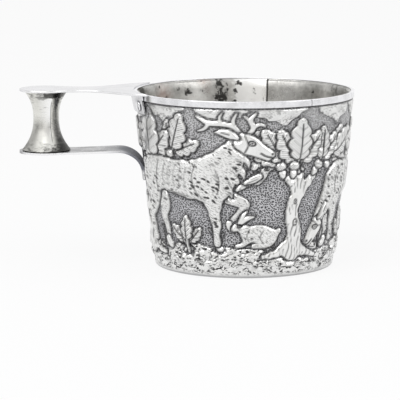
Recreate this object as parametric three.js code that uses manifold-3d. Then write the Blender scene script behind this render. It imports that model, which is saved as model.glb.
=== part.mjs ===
// A silver drinking cup with a spool handle: a raised outer shell, a plain liner, a rim band, and
// a handle of two plates and a hollow spool, riveted under the rim and soldered lower down.
// Millimetres, +Z up. The origin is the middle of the base, the handle points along -X.

import * as THREE from 'three';
import { mergeVertices } from 'three/addons/utils/BufferGeometryUtils.js';
import Module from 'manifold-3d';

// Cup
const cupHeight = 85.4;
const rimRadius = 53.5;
const baseRadius = 43.4;
const baseCorner = 1.4;
const shellThickness = 0.5;
const linerThickness = 0.4;
const linerCorner = 5;
const linerGap = 1.1;
const linerFlare = 2.2;
const linerLip = 1.5;

// Frieze
const reliefHeight = 2.3;
const reliefEdge = 2;
const reliefCrown = 7;
const reliefEdgeShare = 0.55;
const friezeFoot = 13;
const rockFoot = 6.2;
const rockTop = 16;
const rockHeight = 1;
const friezeMargin = 4.5;
const friezeRows = 24;

// Rim band
const bandHeight = 3;
const bandThickness = 0.4;
const bandEdgeRound = 0.2;
const seamAngle = -54.5;
const seamWidth = 0.25;

// Handle
const plateThickness = 1.1;
const plateRise = 0.6;
const spoolReach = 42.9;
const topDiscRadius = 12.8;
const topStrapWidth = 16;
const topWaistReach = 25.5;
const discMeetAngle = 60;
const hornAngle = 30.5;
const hornLength = 17;
const hornSplay = 22.5;
const flangeDrop = 10;
const flangeAngle = 25.7;
const flangeFillet = 1.2;
const flangeFootGap = 0.5;
const lowerDiscRadius = 13.1;
const lowerStrapWidth = 20;
const lowerStrapRise = 2.3;
const tailWidth = 20;
const tailFlareReach = 9;
const tailBendRadius = 12.5;
const tailLanding = 3;

// Spool
const spoolLength = 28.5;
const spoolWall = 0.8;
const spoolTopRadius = 10.5;
const spoolWaistRadius = 6.2;
const spoolWaistDrop = 13.4;
const spoolFootRadius = 11.8;
const spoolTopFlare = 2.5;
const spoolFootFlare = 2.25;

// Rivets
const rivetSpacing = 21;
const rivetDrop = 6.3;
const rivetHeadRadius = 2.65;
const rivetHeadHeight = 0.9;
const rivetShankRadius = 1.1;
const rivetTailRadius = 1.7;
const rivetTailHeight = 0.4;

// Clearances
const seatGap = 0.3;
const rimGap = 0.1;

// Facets
const cupFacets = 96;
const spoolFacets = 28;
const rivetFacets = 16;
const arcSteps = 5;
const edgeSteps = 2;

const degrees = Math.PI / 180;

// The shell's plain outer face is a cone from the base up to the band.
const shellTop = cupHeight - bandThickness - rimGap;
const shellTopRadius = rimRadius - bandThickness - rimGap;
const wallSlope = (shellTopRadius - baseRadius) / shellTop;
const wallTilt = Math.atan(wallSlope);
const wallRadius = (z) => baseRadius + wallSlope * z;
const lipRadius = shellTopRadius - shellThickness - rimGap - linerThickness;

const plateTop = cupHeight + plateRise;
const plateUnderside = plateTop - plateThickness;
const spoolAxis = rimRadius + spoolReach;
const spoolTop = plateUnderside - seatGap;
const spoolFoot = spoolTop - spoolLength;
const lowerPlateTop = spoolFoot - seatGap;
const tailFoot = lowerPlateTop - tailBendRadius - tailLanding;

const silver = { color: 0xc9c9c6, roughness: 0.25, metalness: 1 };
const palerSilver = { color: 0xdcdce0, roughness: 0.2, metalness: 1 };
const wornSilver = { color: 0xa9a8a4, roughness: 0.35, metalness: 1 };

const wasm = await Module();
wasm.setup();

function toSolid(geometry) {
  const bare = geometry.clone();
  bare.deleteAttribute('normal');
  bare.deleteAttribute('uv');
  const merged = mergeVertices(bare, 1e-4);
  return new wasm.Manifold(new wasm.Mesh({
    numProp: 3,
    vertProperties: new Float32Array(merged.attributes.position.array),
    triVerts: new Uint32Array(merged.index.array),
  }));
}

function toGeometry(solid) {
  const mesh = solid.getMesh();
  const geometry = new THREE.BufferGeometry();
  geometry.setAttribute('position', new THREE.BufferAttribute(mesh.vertProperties, 3));
  geometry.setIndex(new THREE.BufferAttribute(mesh.triVerts, 1));
  geometry.computeVertexNormals();
  return geometry;
}

// Turns a section of (radius, height) points round the Z axis.
function revolve(section, facets) {
  return new THREE.LatheGeometry(section, facets).rotateX(Math.PI / 2);
}

function closed(path, steps) {
  const points = path.getPoints(steps);
  return points[0].equals(points.at(-1)) ? points : [...points, points[0].clone()];
}

// A bent sheet's section, to both sides of the line that its middle follows.
function sheetSection(middle, thickness) {
  const sides = middle.map((point, i) => {
    const before = middle[Math.max(i - 1, 0)];
    const after = middle[Math.min(i + 1, middle.length - 1)];
    const along = after.clone().sub(before).normalize();
    return new THREE.Vector2(-along.y, along.x).multiplyScalar(thickness / 2);
  });
  const left = middle.map((point, i) => point.clone().add(sides[i]));
  const right = middle.map((point, i) => point.clone().sub(sides[i]));
  return [...right, ...left.reverse(), right[0].clone()];
}

// An upright block of the given outline, tall enough to cut through the whole handle.
function planBlock(shape) {
  const block = new THREE.ExtrudeGeometry(shape, {
    depth: 2 * plateTop, bevelEnabled: false, curveSegments: 2 * arcSteps,
  });
  return toSolid(block.translate(0, 0, -plateTop / 2));
}

function named(name, geometry, look) {
  const mesh = new THREE.Mesh(geometry, new THREE.MeshStandardMaterial(look));
  mesh.name = name;
  return mesh;
}

// The frieze's main forms, drawn flat. Each is a list of strokes through [x, y, radius] points,
// with x round the cup and y up from the form's foot, for a form that faces +x at size 1.
const deer = [
  [[-19.5, 29.5, 6.6], [-5, 29.2, 6.9], [12, 28.6, 8.4]],
  [[11, 24, 5], [12.6, 12.6, 2.2], [13.2, 1.5, 2]],
  [[-21, 28, 6.4], [-21.2, 16, 3.4], [-23.6, 12.4, 2.3], [-21.4, 1.5, 2]],
  [[-16.5, 24, 5], [-14, 12.8, 2.2], [-12.4, 1.5, 1.8]],
];
const forwardHead = [
  [[12, 30.5, 8], [17, 36, 6.2], [23.4, 44, 3.8]],
  [[23.8, 44, 3.8], [34.4, 39, 2]],
  [[15.5, 24, 3.8], [23, 15.4, 2.2], [24, 6.4, 1.8]],
];
const loweredHead = [
  [[12.5, 27.5, 7.4], [18, 22, 5], [24.4, 11.8, 3.2]],
  [[24.6, 10.4, 3.2], [29.6, 3.4, 2]],
  [[15, 23, 3.6], [18, 11.4, 2.2], [18.4, 1.5, 1.8]],
];
const trunk = [
  [[0, -3, 5], [1, 6, 4], [1, 38, 2.5]],
  [[1, 22, 2.4], [15, 38, 1.5]],
  [[-3, -1, 3], [-9, -4, 2]],
  [[4, -2, 2.8], [10, -5, 1.8]],
];
const hare = [[[-7, 5.4, 4.6], [4, 7, 4]], [[5, 8.6, 3], [11.4, 10.2, 1.8]]];

// A fan of leaves at a twig's end.
function leaves(x, y, turn) {
  const reach = (out) => [x + out * Math.cos(turn * degrees), y + out * Math.sin(turn * degrees)];
  return [[...reach(4), 6], [...reach(12), 8]];
}

const crown = [
  leaves(-13, 43, 150), leaves(-6, 38, 116), leaves(1, 38, 88), leaves(14, 38, 66), leaves(21, 41, 24),
];

// Each form's place round the cup from the front, its foot over the frieze's own, its way of
// facing, its size, and its share of the relief's full height.
const forms = [
  { at: -62, foot: 3, facing: 1, size: 1, rise: 0.7,
    strokes: [...trunk, leaves(-4, 38, 112), leaves(9, 37, 84), leaves(9, 37, 50), leaves(25, 43, 62)] },
  { at: 24, foot: 3, facing: 1, size: 1, rise: 0.75, strokes: [...trunk, ...crown] },
  { at: 100, foot: 3, facing: -1, size: 1, rise: 0.75, strokes: [...trunk, ...crown] },
  { at: -112, foot: 3, facing: 1, size: 1, rise: 0.75, strokes: [...trunk, ...crown] },
  { at: -30, foot: 0, facing: 1, size: 1.2, rise: 1, strokes: [...deer, ...forwardHead] },
  { at: 66, foot: 0, facing: -1, size: 1.1, rise: 0.95, strokes: [...deer, ...loweredHead] },
  { at: 145, foot: 0, facing: -1, size: 1.1, rise: 0.95, strokes: [...deer, ...forwardHead] },
  { at: 5, foot: 2, facing: -1, size: 0.95, rise: 0.7, strokes: hare },
  { at: -92, foot: 2, facing: -1, size: 0.9, rise: 0.7, strokes: hare },
];

// How deep a point lies inside a stroke, below zero outside it.
function strokeDepth(stroke, x, y) {
  const depths = stroke.slice(1).map(([bx, by, br], i) => {
    const [ax, ay, ar] = stroke[i];
    const [dx, dy] = [bx - ax, by - ay];
    const share = THREE.MathUtils.clamp(
      ((x - ax) * dx + (y - ay) * dy) / (dx * dx + dy * dy), 0, 1);
    return ar + share * (br - ar) - Math.hypot(x - ax - share * dx, y - ay - share * dy);
  });
  return Math.max(...depths);
}

// The frieze's height over the ground, low at the outlines and full in the middle of a form.
function swell(depth) {
  if (depth <= 0) return 0;
  const pillow = Math.sqrt(1 - (1 - Math.min(depth / reliefEdge, 1)) ** 2);
  const dome = Math.sqrt(Math.min(depth / reliefCrown, 1));
  return reliefEdgeShare * pillow + (1 - reliefEdgeShare) * dome;
}

// Plain ground is left under the band, round the flange and round the tail.
function reliefAt(angle, z) {
  const middleRadius = (baseRadius + shellTopRadius) / 2;
  const besideHandle = Math.abs(angle + Math.PI / 2) * middleRadius;
  const flangeReach = flangeAngle * degrees * middleRadius + friezeMargin;
  const tailReach = tailWidth / 2 + friezeMargin;
  if (z > flangeTop - friezeMargin / 2) return 0;
  if (besideHandle < flangeReach && z > flangeFoot - friezeMargin) return 0;
  if (besideHandle < tailReach && z > tailFoot - friezeMargin && z < lowerPlateTop + friezeMargin) {
    return 0;
  }
  const along = angle * middleRadius;
  const length = 2 * Math.PI * middleRadius;
  const heights = forms.map(({ at, foot, facing, size, rise, strokes }) => {
    const offset = THREE.MathUtils.euclideanModulo(along - at + length / 2, length) - length / 2;
    const [x, y] = [(facing * offset) / size, (z - friezeFoot - foot) / size];
    return reliefHeight * rise * Math.max(...strokes.map((s) => swell(strokeDepth(s, x, y) * size)));
  });
  const bank = z < rockTop ? rockHeight : 0;
  const room = rimRadius - wallRadius(z) - rimGap;
  return Math.min(Math.max(bank, ...heights), room);
}

// Moves both faces of the wall out alike, because a frieze is beaten out from the back.
function chase(shell) {
  const place = shell.attributes.position;
  for (let i = 0; i < place.count; i += 1) {
    const [x, y, z] = [place.getX(i), place.getY(i), place.getZ(i)];
    if (z < rockFoot) continue;
    const stretch = 1 + reliefAt(Math.atan2(x, -y), z) / Math.hypot(x, y);
    place.setXY(i, x * stretch, y * stretch);
  }
  return shell;
}

function makeOuterShell() {
  const section = new THREE.Path();
  const innerRadius = (z) => wallRadius(z) - shellThickness;
  const rows = Array.from({ length: friezeRows - 1 }, (_, i) =>
    baseCorner + ((i + 1) * (shellTop - baseCorner)) / friezeRows);
  section.moveTo(0, 0);
  section.lineTo(baseRadius - baseCorner, 0);
  section.quadraticCurveTo(baseRadius, 0, wallRadius(baseCorner), baseCorner);
  rows.forEach((z) => section.lineTo(wallRadius(z), z));
  section.lineTo(shellTopRadius, shellTop);
  section.lineTo(innerRadius(shellTop), shellTop);
  rows.reverse().forEach((z) => section.lineTo(innerRadius(z), z));
  section.lineTo(innerRadius(baseCorner), baseCorner);
  section.quadraticCurveTo(
    innerRadius(shellThickness), shellThickness, baseRadius - baseCorner, shellThickness);
  section.lineTo(0, shellThickness);
  return cutRivetHoles(toSolid(chase(revolve(section.getPoints(arcSteps), cupFacets))));
}

function makeInnerLiner() {
  const floor = shellThickness + seatGap;
  const floorTop = floor + linerThickness;
  const flareTop = cupHeight - linerLip;
  const flareFoot = flareTop - linerFlare;
  const flareMiddle = (flareTop + flareFoot) / 2;
  const wideRadius = (z) => wallRadius(z) - shellThickness - rimGap;
  const bodyRadius = (z) => wallRadius(z) - shellThickness - linerGap;
  const section = new THREE.Path();
  section.moveTo(0, floor);
  section.lineTo(bodyRadius(floor) - linerCorner, floor);
  section.quadraticCurveTo(
    bodyRadius(floor), floor, bodyRadius(floor + linerCorner), floor + linerCorner);
  section.lineTo(bodyRadius(flareFoot), flareFoot);
  section.bezierCurveTo(
    bodyRadius(flareMiddle), flareMiddle, wideRadius(flareMiddle), flareMiddle,
    wideRadius(flareTop), flareTop);
  section.lineTo(wideRadius(shellTop), shellTop);
  section.lineTo(wideRadius(shellTop) - linerThickness, shellTop);
  section.lineTo(wideRadius(flareTop) - linerThickness, flareTop);
  section.bezierCurveTo(
    wideRadius(flareMiddle) - linerThickness, flareMiddle,
    bodyRadius(flareMiddle) - linerThickness, flareMiddle,
    bodyRadius(flareFoot) - linerThickness, flareFoot);
  section.lineTo(bodyRadius(floor + linerCorner) - linerThickness, floor + linerCorner);
  section.quadraticCurveTo(
    bodyRadius(floorTop) - linerThickness, floorTop, bodyRadius(floor) - linerCorner, floorTop);
  section.lineTo(0, floorTop);
  return toSolid(revolve(section.getPoints(arcSteps), cupFacets));
}

// The band is an angle strip: a leg outside the shell and a cap over both sheets' edges. It is
// bent from one length, so its ends meet in an upright seam.
function makeRimBand() {
  const legFoot = cupHeight - bandHeight;
  const legInner = rimRadius - bandThickness;
  const capUnderside = cupHeight - bandThickness;
  const section = new THREE.Path();
  section.moveTo(legInner, legFoot);
  section.lineTo(rimRadius, legFoot);
  section.lineTo(rimRadius, cupHeight - bandEdgeRound);
  section.quadraticCurveTo(rimRadius, cupHeight, rimRadius - bandEdgeRound, cupHeight);
  section.lineTo(lipRadius + bandEdgeRound, cupHeight);
  section.quadraticCurveTo(lipRadius, cupHeight, lipRadius, cupHeight - bandEdgeRound);
  section.lineTo(lipRadius, capUnderside);
  section.lineTo(legInner, capUnderside);
  const ring = toSolid(revolve(closed(section, edgeSteps), cupFacets));
  const slotDepth = rimRadius / 2;
  const slot = new THREE.BoxGeometry(slotDepth, seamWidth, 4 * bandHeight);
  slot.translate(rimRadius, 0, cupHeight).rotateZ(seamAngle * degrees);
  return ring.subtract(toSolid(slot));
}

// Half of a plate's outline from its strap to the far side of its disc, ready to be mirrored.
function addDiscEnd(shape, discRadius, waistX, halfWaist) {
  const meet = discMeetAngle * degrees;
  const meetX = -spoolAxis + discRadius * Math.cos(meet);
  const meetY = discRadius * Math.sin(meet);
  const neckX = meetX + (meetY - halfWaist) * Math.tan(meet);
  shape.lineTo(waistX, halfWaist);
  shape.quadraticCurveTo(neckX, halfWaist, meetX, meetY);
  shape.absarc(-spoolAxis, 0, discRadius, meet, 2 * Math.PI - meet, false);
  shape.quadraticCurveTo(neckX, -halfWaist, waistX, -halfWaist);
}

// The top plate widens from its strap into two horns that clasp the rim.
function topPlateOutline() {
  const rest = rimRadius + seatGap;
  const tipX = -rest * Math.cos(hornAngle * degrees);
  const tipY = rest * Math.sin(hornAngle * degrees);
  const edgeX = tipX - hornLength * Math.cos(hornSplay * degrees);
  const edgeY = tipY - hornLength * Math.sin(hornSplay * degrees);
  const waistX = -(rimRadius + topWaistReach);
  const flareX = (waistX - rest) / 2;
  const halfWaist = topStrapWidth / 2;
  const shape = new THREE.Shape();
  shape.moveTo(tipX, tipY);
  shape.bezierCurveTo(edgeX, edgeY, flareX, halfWaist, waistX, halfWaist);
  addDiscEnd(shape, topDiscRadius, waistX, halfWaist);
  shape.bezierCurveTo(flareX, -halfWaist, edgeX, -edgeY, tipX, -tipY);
  shape.absarc(
    0, 0, rest, Math.PI + hornAngle * degrees, Math.PI - hornAngle * degrees, true);
  return shape;
}

// The flange is bent down from the top plate's rim edge and leans in below the band.
const flangeTop = cupHeight - bandHeight;
const flangeFoot = plateTop - flangeDrop;
const flangeTopRadius = rimRadius + seatGap;
const flangeFootRadius = wallRadius(flangeFoot) + flangeFootGap;
const flangeTilt = Math.atan((flangeTopRadius - flangeFootRadius) / (flangeTop - flangeFoot));
const flangeInner = (z) => flangeFootRadius + Math.tan(flangeTilt) * (z - flangeFoot);

function makeTopPlate() {
  const plate = new THREE.ExtrudeGeometry(topPlateOutline(), {
    depth: plateThickness, bevelEnabled: false, curveSegments: 2 * arcSteps,
  });
  const outer = flangeTopRadius + plateThickness;
  const section = new THREE.Path();
  section.moveTo(flangeTopRadius, plateTop);
  section.lineTo(flangeTopRadius, flangeTop);
  section.lineTo(flangeFootRadius, flangeFoot);
  section.lineTo(flangeFootRadius + plateThickness, flangeFoot);
  section.lineTo(outer, flangeTop);
  section.lineTo(outer, plateUnderside - flangeFillet);
  section.quadraticCurveTo(outer, plateUnderside, outer + flangeFillet, plateUnderside);
  section.lineTo(outer + flangeFillet, plateTop);
  const ring = toSolid(revolve(closed(section, arcSteps), cupFacets));
  const reach = 2 * rimRadius;
  const wedge = new THREE.Shape();
  wedge.moveTo(0, 0);
  wedge.lineTo(-reach, reach * Math.tan(flangeAngle * degrees));
  wedge.lineTo(-reach, -reach * Math.tan(flangeAngle * degrees));
  const flange = ring.intersect(planBlock(wedge));
  const flat = toSolid(plate.translate(0, 0, plateUnderside));
  return cutRivetHoles(flat.add(flange));
}

// The lower plate's strap climbs a little towards the cup, then bends down and lies on the wall.
function makeLowerPlate() {
  const half = plateThickness / 2;
  const discMiddle = lowerPlateTop - half;
  const discInner = spoolAxis - lowerDiscRadius;
  const farEnd = spoolAxis + 2 * lowerDiscRadius;
  const climb = Math.tan(lowerStrapRise * degrees);
  const wallStretch = Math.hypot(1, wallSlope);
  const strapStretch = Math.hypot(1, climb);
  const strapAtAxis = discMiddle + climb * discInner - tailBendRadius * strapStretch;
  const wallOffset = (tailBendRadius + seatGap + half) * wallStretch;
  const bendX = (baseRadius + wallSlope * strapAtAxis + wallOffset) / (1 + wallSlope * climb);
  const bendZ = strapAtAxis - climb * bendX;
  const middle = new THREE.Path();
  middle.moveTo(farEnd, discMiddle);
  middle.lineTo(discInner, discMiddle);
  middle.absarc(bendX, bendZ, tailBendRadius,
    Math.PI / 2 - lowerStrapRise * degrees, Math.PI - wallTilt, false);
  const landing = middle.currentPoint.clone();
  middle.lineTo(landing.x - tailLanding * Math.sin(wallTilt),
    landing.y - tailLanding * Math.cos(wallTilt));
  const section = sheetSection(middle.getPoints(arcSteps), plateThickness);
  const sheet = toSolid(revolve(section, cupFacets));

  const halfWaist = lowerStrapWidth / 2;
  const halfTail = tailWidth / 2;
  const tailX = -bendX + tailBendRadius / 2;
  const waistX = -bendX - tailFlareReach;
  const flareX = (tailX + waistX) / 2;
  const shape = new THREE.Shape();
  shape.moveTo(-baseRadius / 2, halfTail);
  shape.lineTo(tailX, halfTail);
  shape.bezierCurveTo(flareX, halfTail, flareX, halfWaist, waistX, halfWaist);
  addDiscEnd(shape, lowerDiscRadius, -spoolAxis + lowerDiscRadius + tailFlareReach / 2, halfWaist);
  shape.lineTo(waistX, -halfWaist);
  shape.bezierCurveTo(flareX, -halfWaist, flareX, -halfTail, tailX, -halfTail);
  shape.lineTo(-baseRadius / 2, -halfTail);
  return sheet.intersect(planBlock(shape));
}

// The spool is a hollow sleeve, drawn in to a waist and flared out at both ends.
function makeSpool() {
  const waist = spoolTop - spoolWaistDrop;
  const radiusAt = (z) => {
    const up = z > waist;
    const share = Math.abs(z - waist) / (up ? spoolTop - waist : waist - spoolFoot);
    const end = up ? spoolTopRadius : spoolFootRadius;
    const flare = up ? spoolTopFlare : spoolFootFlare;
    return spoolWaistRadius + (end - spoolWaistRadius) * share ** flare;
  };
  const rows = 3 * arcSteps;
  const heights = Array.from({ length: rows + 1 }, (_, i) => spoolFoot + (spoolLength * i) / rows);
  const outer = heights.map((z) => new THREE.Vector2(radiusAt(z), z));
  const inner = outer.map((p) => new THREE.Vector2(p.x - spoolWall, p.y)).reverse();
  const sleeve = revolve([...outer, ...inner, outer[0].clone()], spoolFacets);
  return sleeve.translate(-spoolAxis, 0, 0);
}

// A rivet's head lies on the flange and its tail inside the shell. Its own section is drawn
// upright, with zero at the flange's outer face, then laid along the rivet's slanted axis.
const rivetHeight = plateTop - rivetDrop;
const rivetTilt = (flangeTilt + wallTilt) / 2;
const rivetSeatRadius = flangeInner(rivetHeight) + plateThickness;
const rivetGrip = (rivetSeatRadius - wallRadius(rivetHeight) + shellThickness)
  / (Math.cos(rivetTilt) + wallSlope * Math.sin(rivetTilt));
const rivetAngles = { rivet_front: rivetSpacing, rivet_rear: -rivetSpacing };

function placeAsRivet(geometry, angle) {
  return geometry
    .rotateZ(Math.PI / 2)
    .rotateY(-rivetTilt)
    .translate(-rivetSeatRadius, 0, rivetHeight)
    .rotateZ(angle * degrees);
}

function cutRivetHoles(solid) {
  const holeRadius = rivetShankRadius + seatGap;
  const length = 4 * (rivetGrip + plateThickness);
  return Object.values(rivetAngles).reduce((rest, angle) => {
    const drill = new THREE.CylinderGeometry(holeRadius, holeRadius, length, rivetFacets);
    return rest.subtract(toSolid(placeAsRivet(drill, angle)));
  }, solid);
}

function makeRivet(angle) {
  const headFoot = seatGap;
  const tailTop = -rivetGrip - seatGap;
  const section = new THREE.Path();
  section.moveTo(0, tailTop - rivetTailHeight);
  section.lineTo(rivetTailRadius, tailTop - rivetTailHeight);
  section.lineTo(rivetTailRadius, tailTop);
  section.lineTo(rivetShankRadius, tailTop);
  section.lineTo(rivetShankRadius, headFoot);
  section.lineTo(rivetHeadRadius, headFoot);
  section.quadraticCurveTo(
    rivetHeadRadius * 0.8, headFoot + rivetHeadHeight, 0, headFoot + rivetHeadHeight);
  return placeAsRivet(new THREE.LatheGeometry(section.getPoints(edgeSteps + 1), rivetFacets), angle);
}

const cup = new THREE.Group();
cup.add(
  named('outer_shell', toGeometry(makeOuterShell()), silver),
  named('inner_liner', toGeometry(makeInnerLiner()), wornSilver),
  named('rim_band', toGeometry(makeRimBand()), palerSilver),
  named('handle_top_plate', toGeometry(makeTopPlate()), palerSilver),
  named('handle_lower_plate', toGeometry(makeLowerPlate()), wornSilver),
  named('handle_spool', makeSpool(), silver),
);
for (const [name, angle] of Object.entries(rivetAngles)) {
  cup.add(named(name, makeRivet(angle), palerSilver));
}

export default cup;
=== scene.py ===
"""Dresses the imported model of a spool-handled silver cup and sets its studio view."""

import math

import bmesh
import bpy
import numpy as np
from mathutils import Matrix, Vector


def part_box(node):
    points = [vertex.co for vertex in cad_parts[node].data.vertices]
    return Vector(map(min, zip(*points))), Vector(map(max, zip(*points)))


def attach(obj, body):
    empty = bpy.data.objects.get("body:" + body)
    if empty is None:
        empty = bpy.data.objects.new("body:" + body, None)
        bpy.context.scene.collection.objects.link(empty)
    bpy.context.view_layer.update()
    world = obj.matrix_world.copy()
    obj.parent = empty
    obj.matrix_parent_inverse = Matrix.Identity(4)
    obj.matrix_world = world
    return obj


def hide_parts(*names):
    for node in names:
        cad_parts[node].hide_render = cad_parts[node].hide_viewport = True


bl_info = {
    "name": "Spool-handled Silver Cup",
    "version": (1, 0, 0),
    "blender": (4, 5, 0),
    "location": "View3D > Sidebar > Silver Cup",
    "description": "A chased wall, a liner, a bound rim and a riveted spool handle, in a studio",
    "category": "Add Mesh",
}

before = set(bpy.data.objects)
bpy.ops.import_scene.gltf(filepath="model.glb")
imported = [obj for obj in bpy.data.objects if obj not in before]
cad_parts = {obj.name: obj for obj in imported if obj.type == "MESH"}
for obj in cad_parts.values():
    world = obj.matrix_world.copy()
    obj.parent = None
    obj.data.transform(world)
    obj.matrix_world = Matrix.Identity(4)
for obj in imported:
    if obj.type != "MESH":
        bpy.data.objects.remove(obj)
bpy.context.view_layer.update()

MM = 0.001
TURN = 2 * math.pi
BODY = "root"

# Places that the frame fixes, in metres
rim_low, rim_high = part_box("rim_band")
shell_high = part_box("outer_shell")[1]
spool_low, spool_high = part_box("handle_spool")
top_low, top_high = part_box("handle_top_plate")
RIM_RADIUS = rim_high.x
CUP_HEIGHT = rim_high.z
BAND_FOOT = rim_low.z
SHELL_TOP = shell_high.z
SHELL_TOP_RADIUS = shell_high.x
SPOOL_AXIS = -(spool_low.x + spool_high.x) / 2
SPOOL_FOOT = spool_low.z
SPOOL_TOP = spool_high.z
PLATE_TOP = top_high.z
FLANGE_FOOT = top_low.z

# Sizes of sheets, gaps and fine forms, in metres, and the band's seam in radians
BASE_RADIUS = 43.4 * MM
BASE_CORNER = 1.4 * MM
PLATE = 1.1 * MM
WALL_SLOPE = (SHELL_TOP_RADIUS - BASE_RADIUS) / SHELL_TOP
WALL_TILT = math.atan(WALL_SLOPE)
SEAT_GAP = 0.3 * MM
PLATE_EDGE = 0.28 * MM
FRIEZE_TOP = 82.3 * MM
FRIEZE_ROWS = 147
LINER_CORNER = 5 * MM
LINER_GAP = 1.1 * MM
RIM_LIP = 1.5 * MM
BAND_SEAM = math.radians(-54.5)
BAND_SEAM_WIDTH = 0.22 * MM

# Sizes of the handle, in metres and radians; a half width is measured from the middle line
TOP_DISC_RADIUS = 12.8 * MM
TOP_HALF_STRAP = 8 * MM
TOP_WAIST_REACH = 25.5 * MM
DISC_MEET = math.radians(60)
HORN_ANGLE = math.radians(30.5)
HORN_SPLAY = math.radians(22.5)
HORN_LENGTH = 17 * MM
FLANGE_ANGLE = math.radians(25.7)
FLANGE_FILLET = 1.2 * MM
FLANGE_FOOT_GAP = 0.5 * MM
LOWER_DISC_RADIUS = 13.1 * MM
LOWER_HALF_STRAP = 10 * MM
HALF_TAIL = 10 * MM
STRAP_CLIMB = math.radians(2.3)
TAIL_BEND = 12.5 * MM
TAIL_LANDING = 3 * MM
SPOOL_WAIST_DROP = 13.4 * MM
SPOOL_WAIST_RADIUS = 6.2 * MM
SPOOL_HEAD_RADIUS = 10.5 * MM
SPOOL_HEAD_FLARE = 2.5
SPOOL_FOOT_RADIUS = 11.8 * MM
SPOOL_FOOT_FLARE = 2.25
RIVET_DROP = 6.3 * MM
RIVET_ANGLE = math.radians(21)

# How many steps each turned form has round its axis
WALL_STEPS = 540
LINER_STEPS = 256
BAND_STEPS = 360
FLANGE_STEPS = 60
SPOOL_STEPS = 128
RIVET_STEPS = 40

# The view: the camera's place in metres, its lens in mm, and its turns from the level
CAMERA_PLACE = (-0.02149, -1.14571, 0.2142)
CAMERA_LENS = 213.21
CAMERA_PITCH = math.radians(90 - 9.09)
CAMERA_ROLL = math.radians(-0.08)

# Soft lamps: name, place, size and power
LAMPS = [("soft key", (-0.6, -0.7, 0.9), 1.1, 8), ("soft fill", (0.9, -0.4, 0.6), 0.8, 3)]

# Cards of the room round the studio: place of the foot's middle, width, height and glow
ROOM_CARDS = [
    ("room_front", (0, -2.6, 0.02), 5.5, 1.3, 0.55),
    ("room_window", (-0.31, -2.3, 0.05), 1.77, 0.62, 1.0),
    ("room_left", (-2.6, -0.5, 0.02), 2.2, 0.7, 0.35),
    ("room_right", (2.4, -0.6, 0.02), 1.4, 0.9, 0.22),
]

# Marks in metres: each one's place, its reach and, where they differ in it, its strength. The band's
# and the flange's marks and the liner's shades are painted shade, with dirt as well round the rivets;
# the liner's bloom and stains are what soldering and use have left
# Painted shadows that the handle's horn tips cast on the band
BAND_HORN_SHADOWS = [((-46.4 * MM, side * 26.6 * MM, 84 * MM), 3.6 * MM, 0.9) for side in (-1, 1)]
# Painted shade: a faint grey over the flange round the rivets
FLANGE_SHADE_AND_DIRT = [((-49 * MM, side * 21 * MM, 79 * MM), 9 * MM, 0.22) for side in (-1, 1)]
# Painted shadow and dirt: a dark ring round each rivet's head
FLANGE_SHADE_AND_DIRT += [((-50.2 * MM, side * 19.3 * MM, 79.7 * MM), 6.2 * MM, 1.0) for side in (-1, 1)]
LINER_BLOOM = (-40.5 * MM, 31 * MM, 78 * MM)
LINER_STAINS = [((-28 * MM, 43 * MM, 79 * MM), 2.4 * MM), ((-33 * MM, 39 * MM, 81 * MM), 1 * MM),
                ((-4 * MM, 51 * MM, 73 * MM), 3 * MM), ((-3.5 * MM, 51 * MM, 79 * MM), 1.6 * MM)]
# Painted shade inside the cup, high on its two sides under the rim
LINER_SHADES = [((50 * MM, 13 * MM, 79 * MM), 16 * MM, 0.75),
                ((36 * MM, 37 * MM, 78 * MM), 12 * MM, 0.45),
                ((17 * MM, 48 * MM, 83 * MM), 6 * MM, 0.3),
                ((-50 * MM, 12 * MM, 80 * MM), 12 * MM, 0.75),
                ((-50.5 * MM, 9 * MM, 84 * MM), 9 * MM, 2.2),
                ((-44.3 * MM, 27 * MM, 82 * MM), 4 * MM, 0.6),
                ((47 * MM, 22 * MM, 82 * MM), 7 * MM, 0.9)]
# The spool's seam: its angle from the front, in radians
SPOOL_SEAM = 0.42
# The liner's soldered lap, in radians: its angle from the back of the cup, the widths of the bright
# strip of painted reflection beside it and of the joint's dark line, and the angle of the burnt flux
LAP_ANGLE = 0.253
LAP_REFLECTION_WIDTH = 0.36
LAP_LINE = 0.011
FLUX_ANGLE = 0.215


def wall_radius(z):
    """Radius of the wall's plain ground at a height."""
    return BASE_RADIUS + WALL_SLOPE * z


# Sizes and colours that a user would change

def size_of(name, description, default):
    return bpy.props.FloatProperty(name=name, description=description, default=default * MM,
                                   unit="LENGTH")


def colour_of(name, description, default):
    return bpy.props.FloatVectorProperty(name=name, description=description, default=default,
                                         subtype="COLOR", min=0, max=1)


class SilverCupSizes(bpy.types.PropertyGroup):
    sheet: size_of("Wall sheet", "Thickness of the chased wall", 0.5)
    relief: size_of("Relief", "How far the frieze's boldest forms stand out of their ground", 2.3)
    liner: size_of("Liner sheet", "Thickness of the smooth liner", 0.4)
    band: size_of("Band sheet", "Thickness of the strip that binds the rim", 0.4)
    spool_wall: size_of("Spool sheet", "Thickness of the hollow spool", 0.8)
    rivet_head: size_of("Rivet head", "Radius of a rivet's domed head", 2.65)


class SilverCupColours(bpy.types.PropertyGroup):
    raised: colour_of("Raised silver", "Polished tops of the frieze", (0.90, 0.90, 0.89))
    ground: colour_of("Matted ground", "Punched background of the frieze", (0.30, 0.30, 0.31))
    groove: colour_of("Grooves", "Darkened silver left in the grooves", (0.045, 0.044, 0.045))
    polished: colour_of("Polished silver", "Band, plates and rivets", (0.86, 0.86, 0.88))
    spool: colour_of("Spool silver", "Slightly olive silver of the spool", (0.82, 0.815, 0.77))
    liner: colour_of("Liner silver", "Worn, slightly warm silver inside the cup", (0.78, 0.77, 0.74))


# Materials

def shaded(tone, share=1.0):
    """A colour darkened or lightened to a share of itself."""
    return tuple(share * channel for channel in tone)


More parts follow.
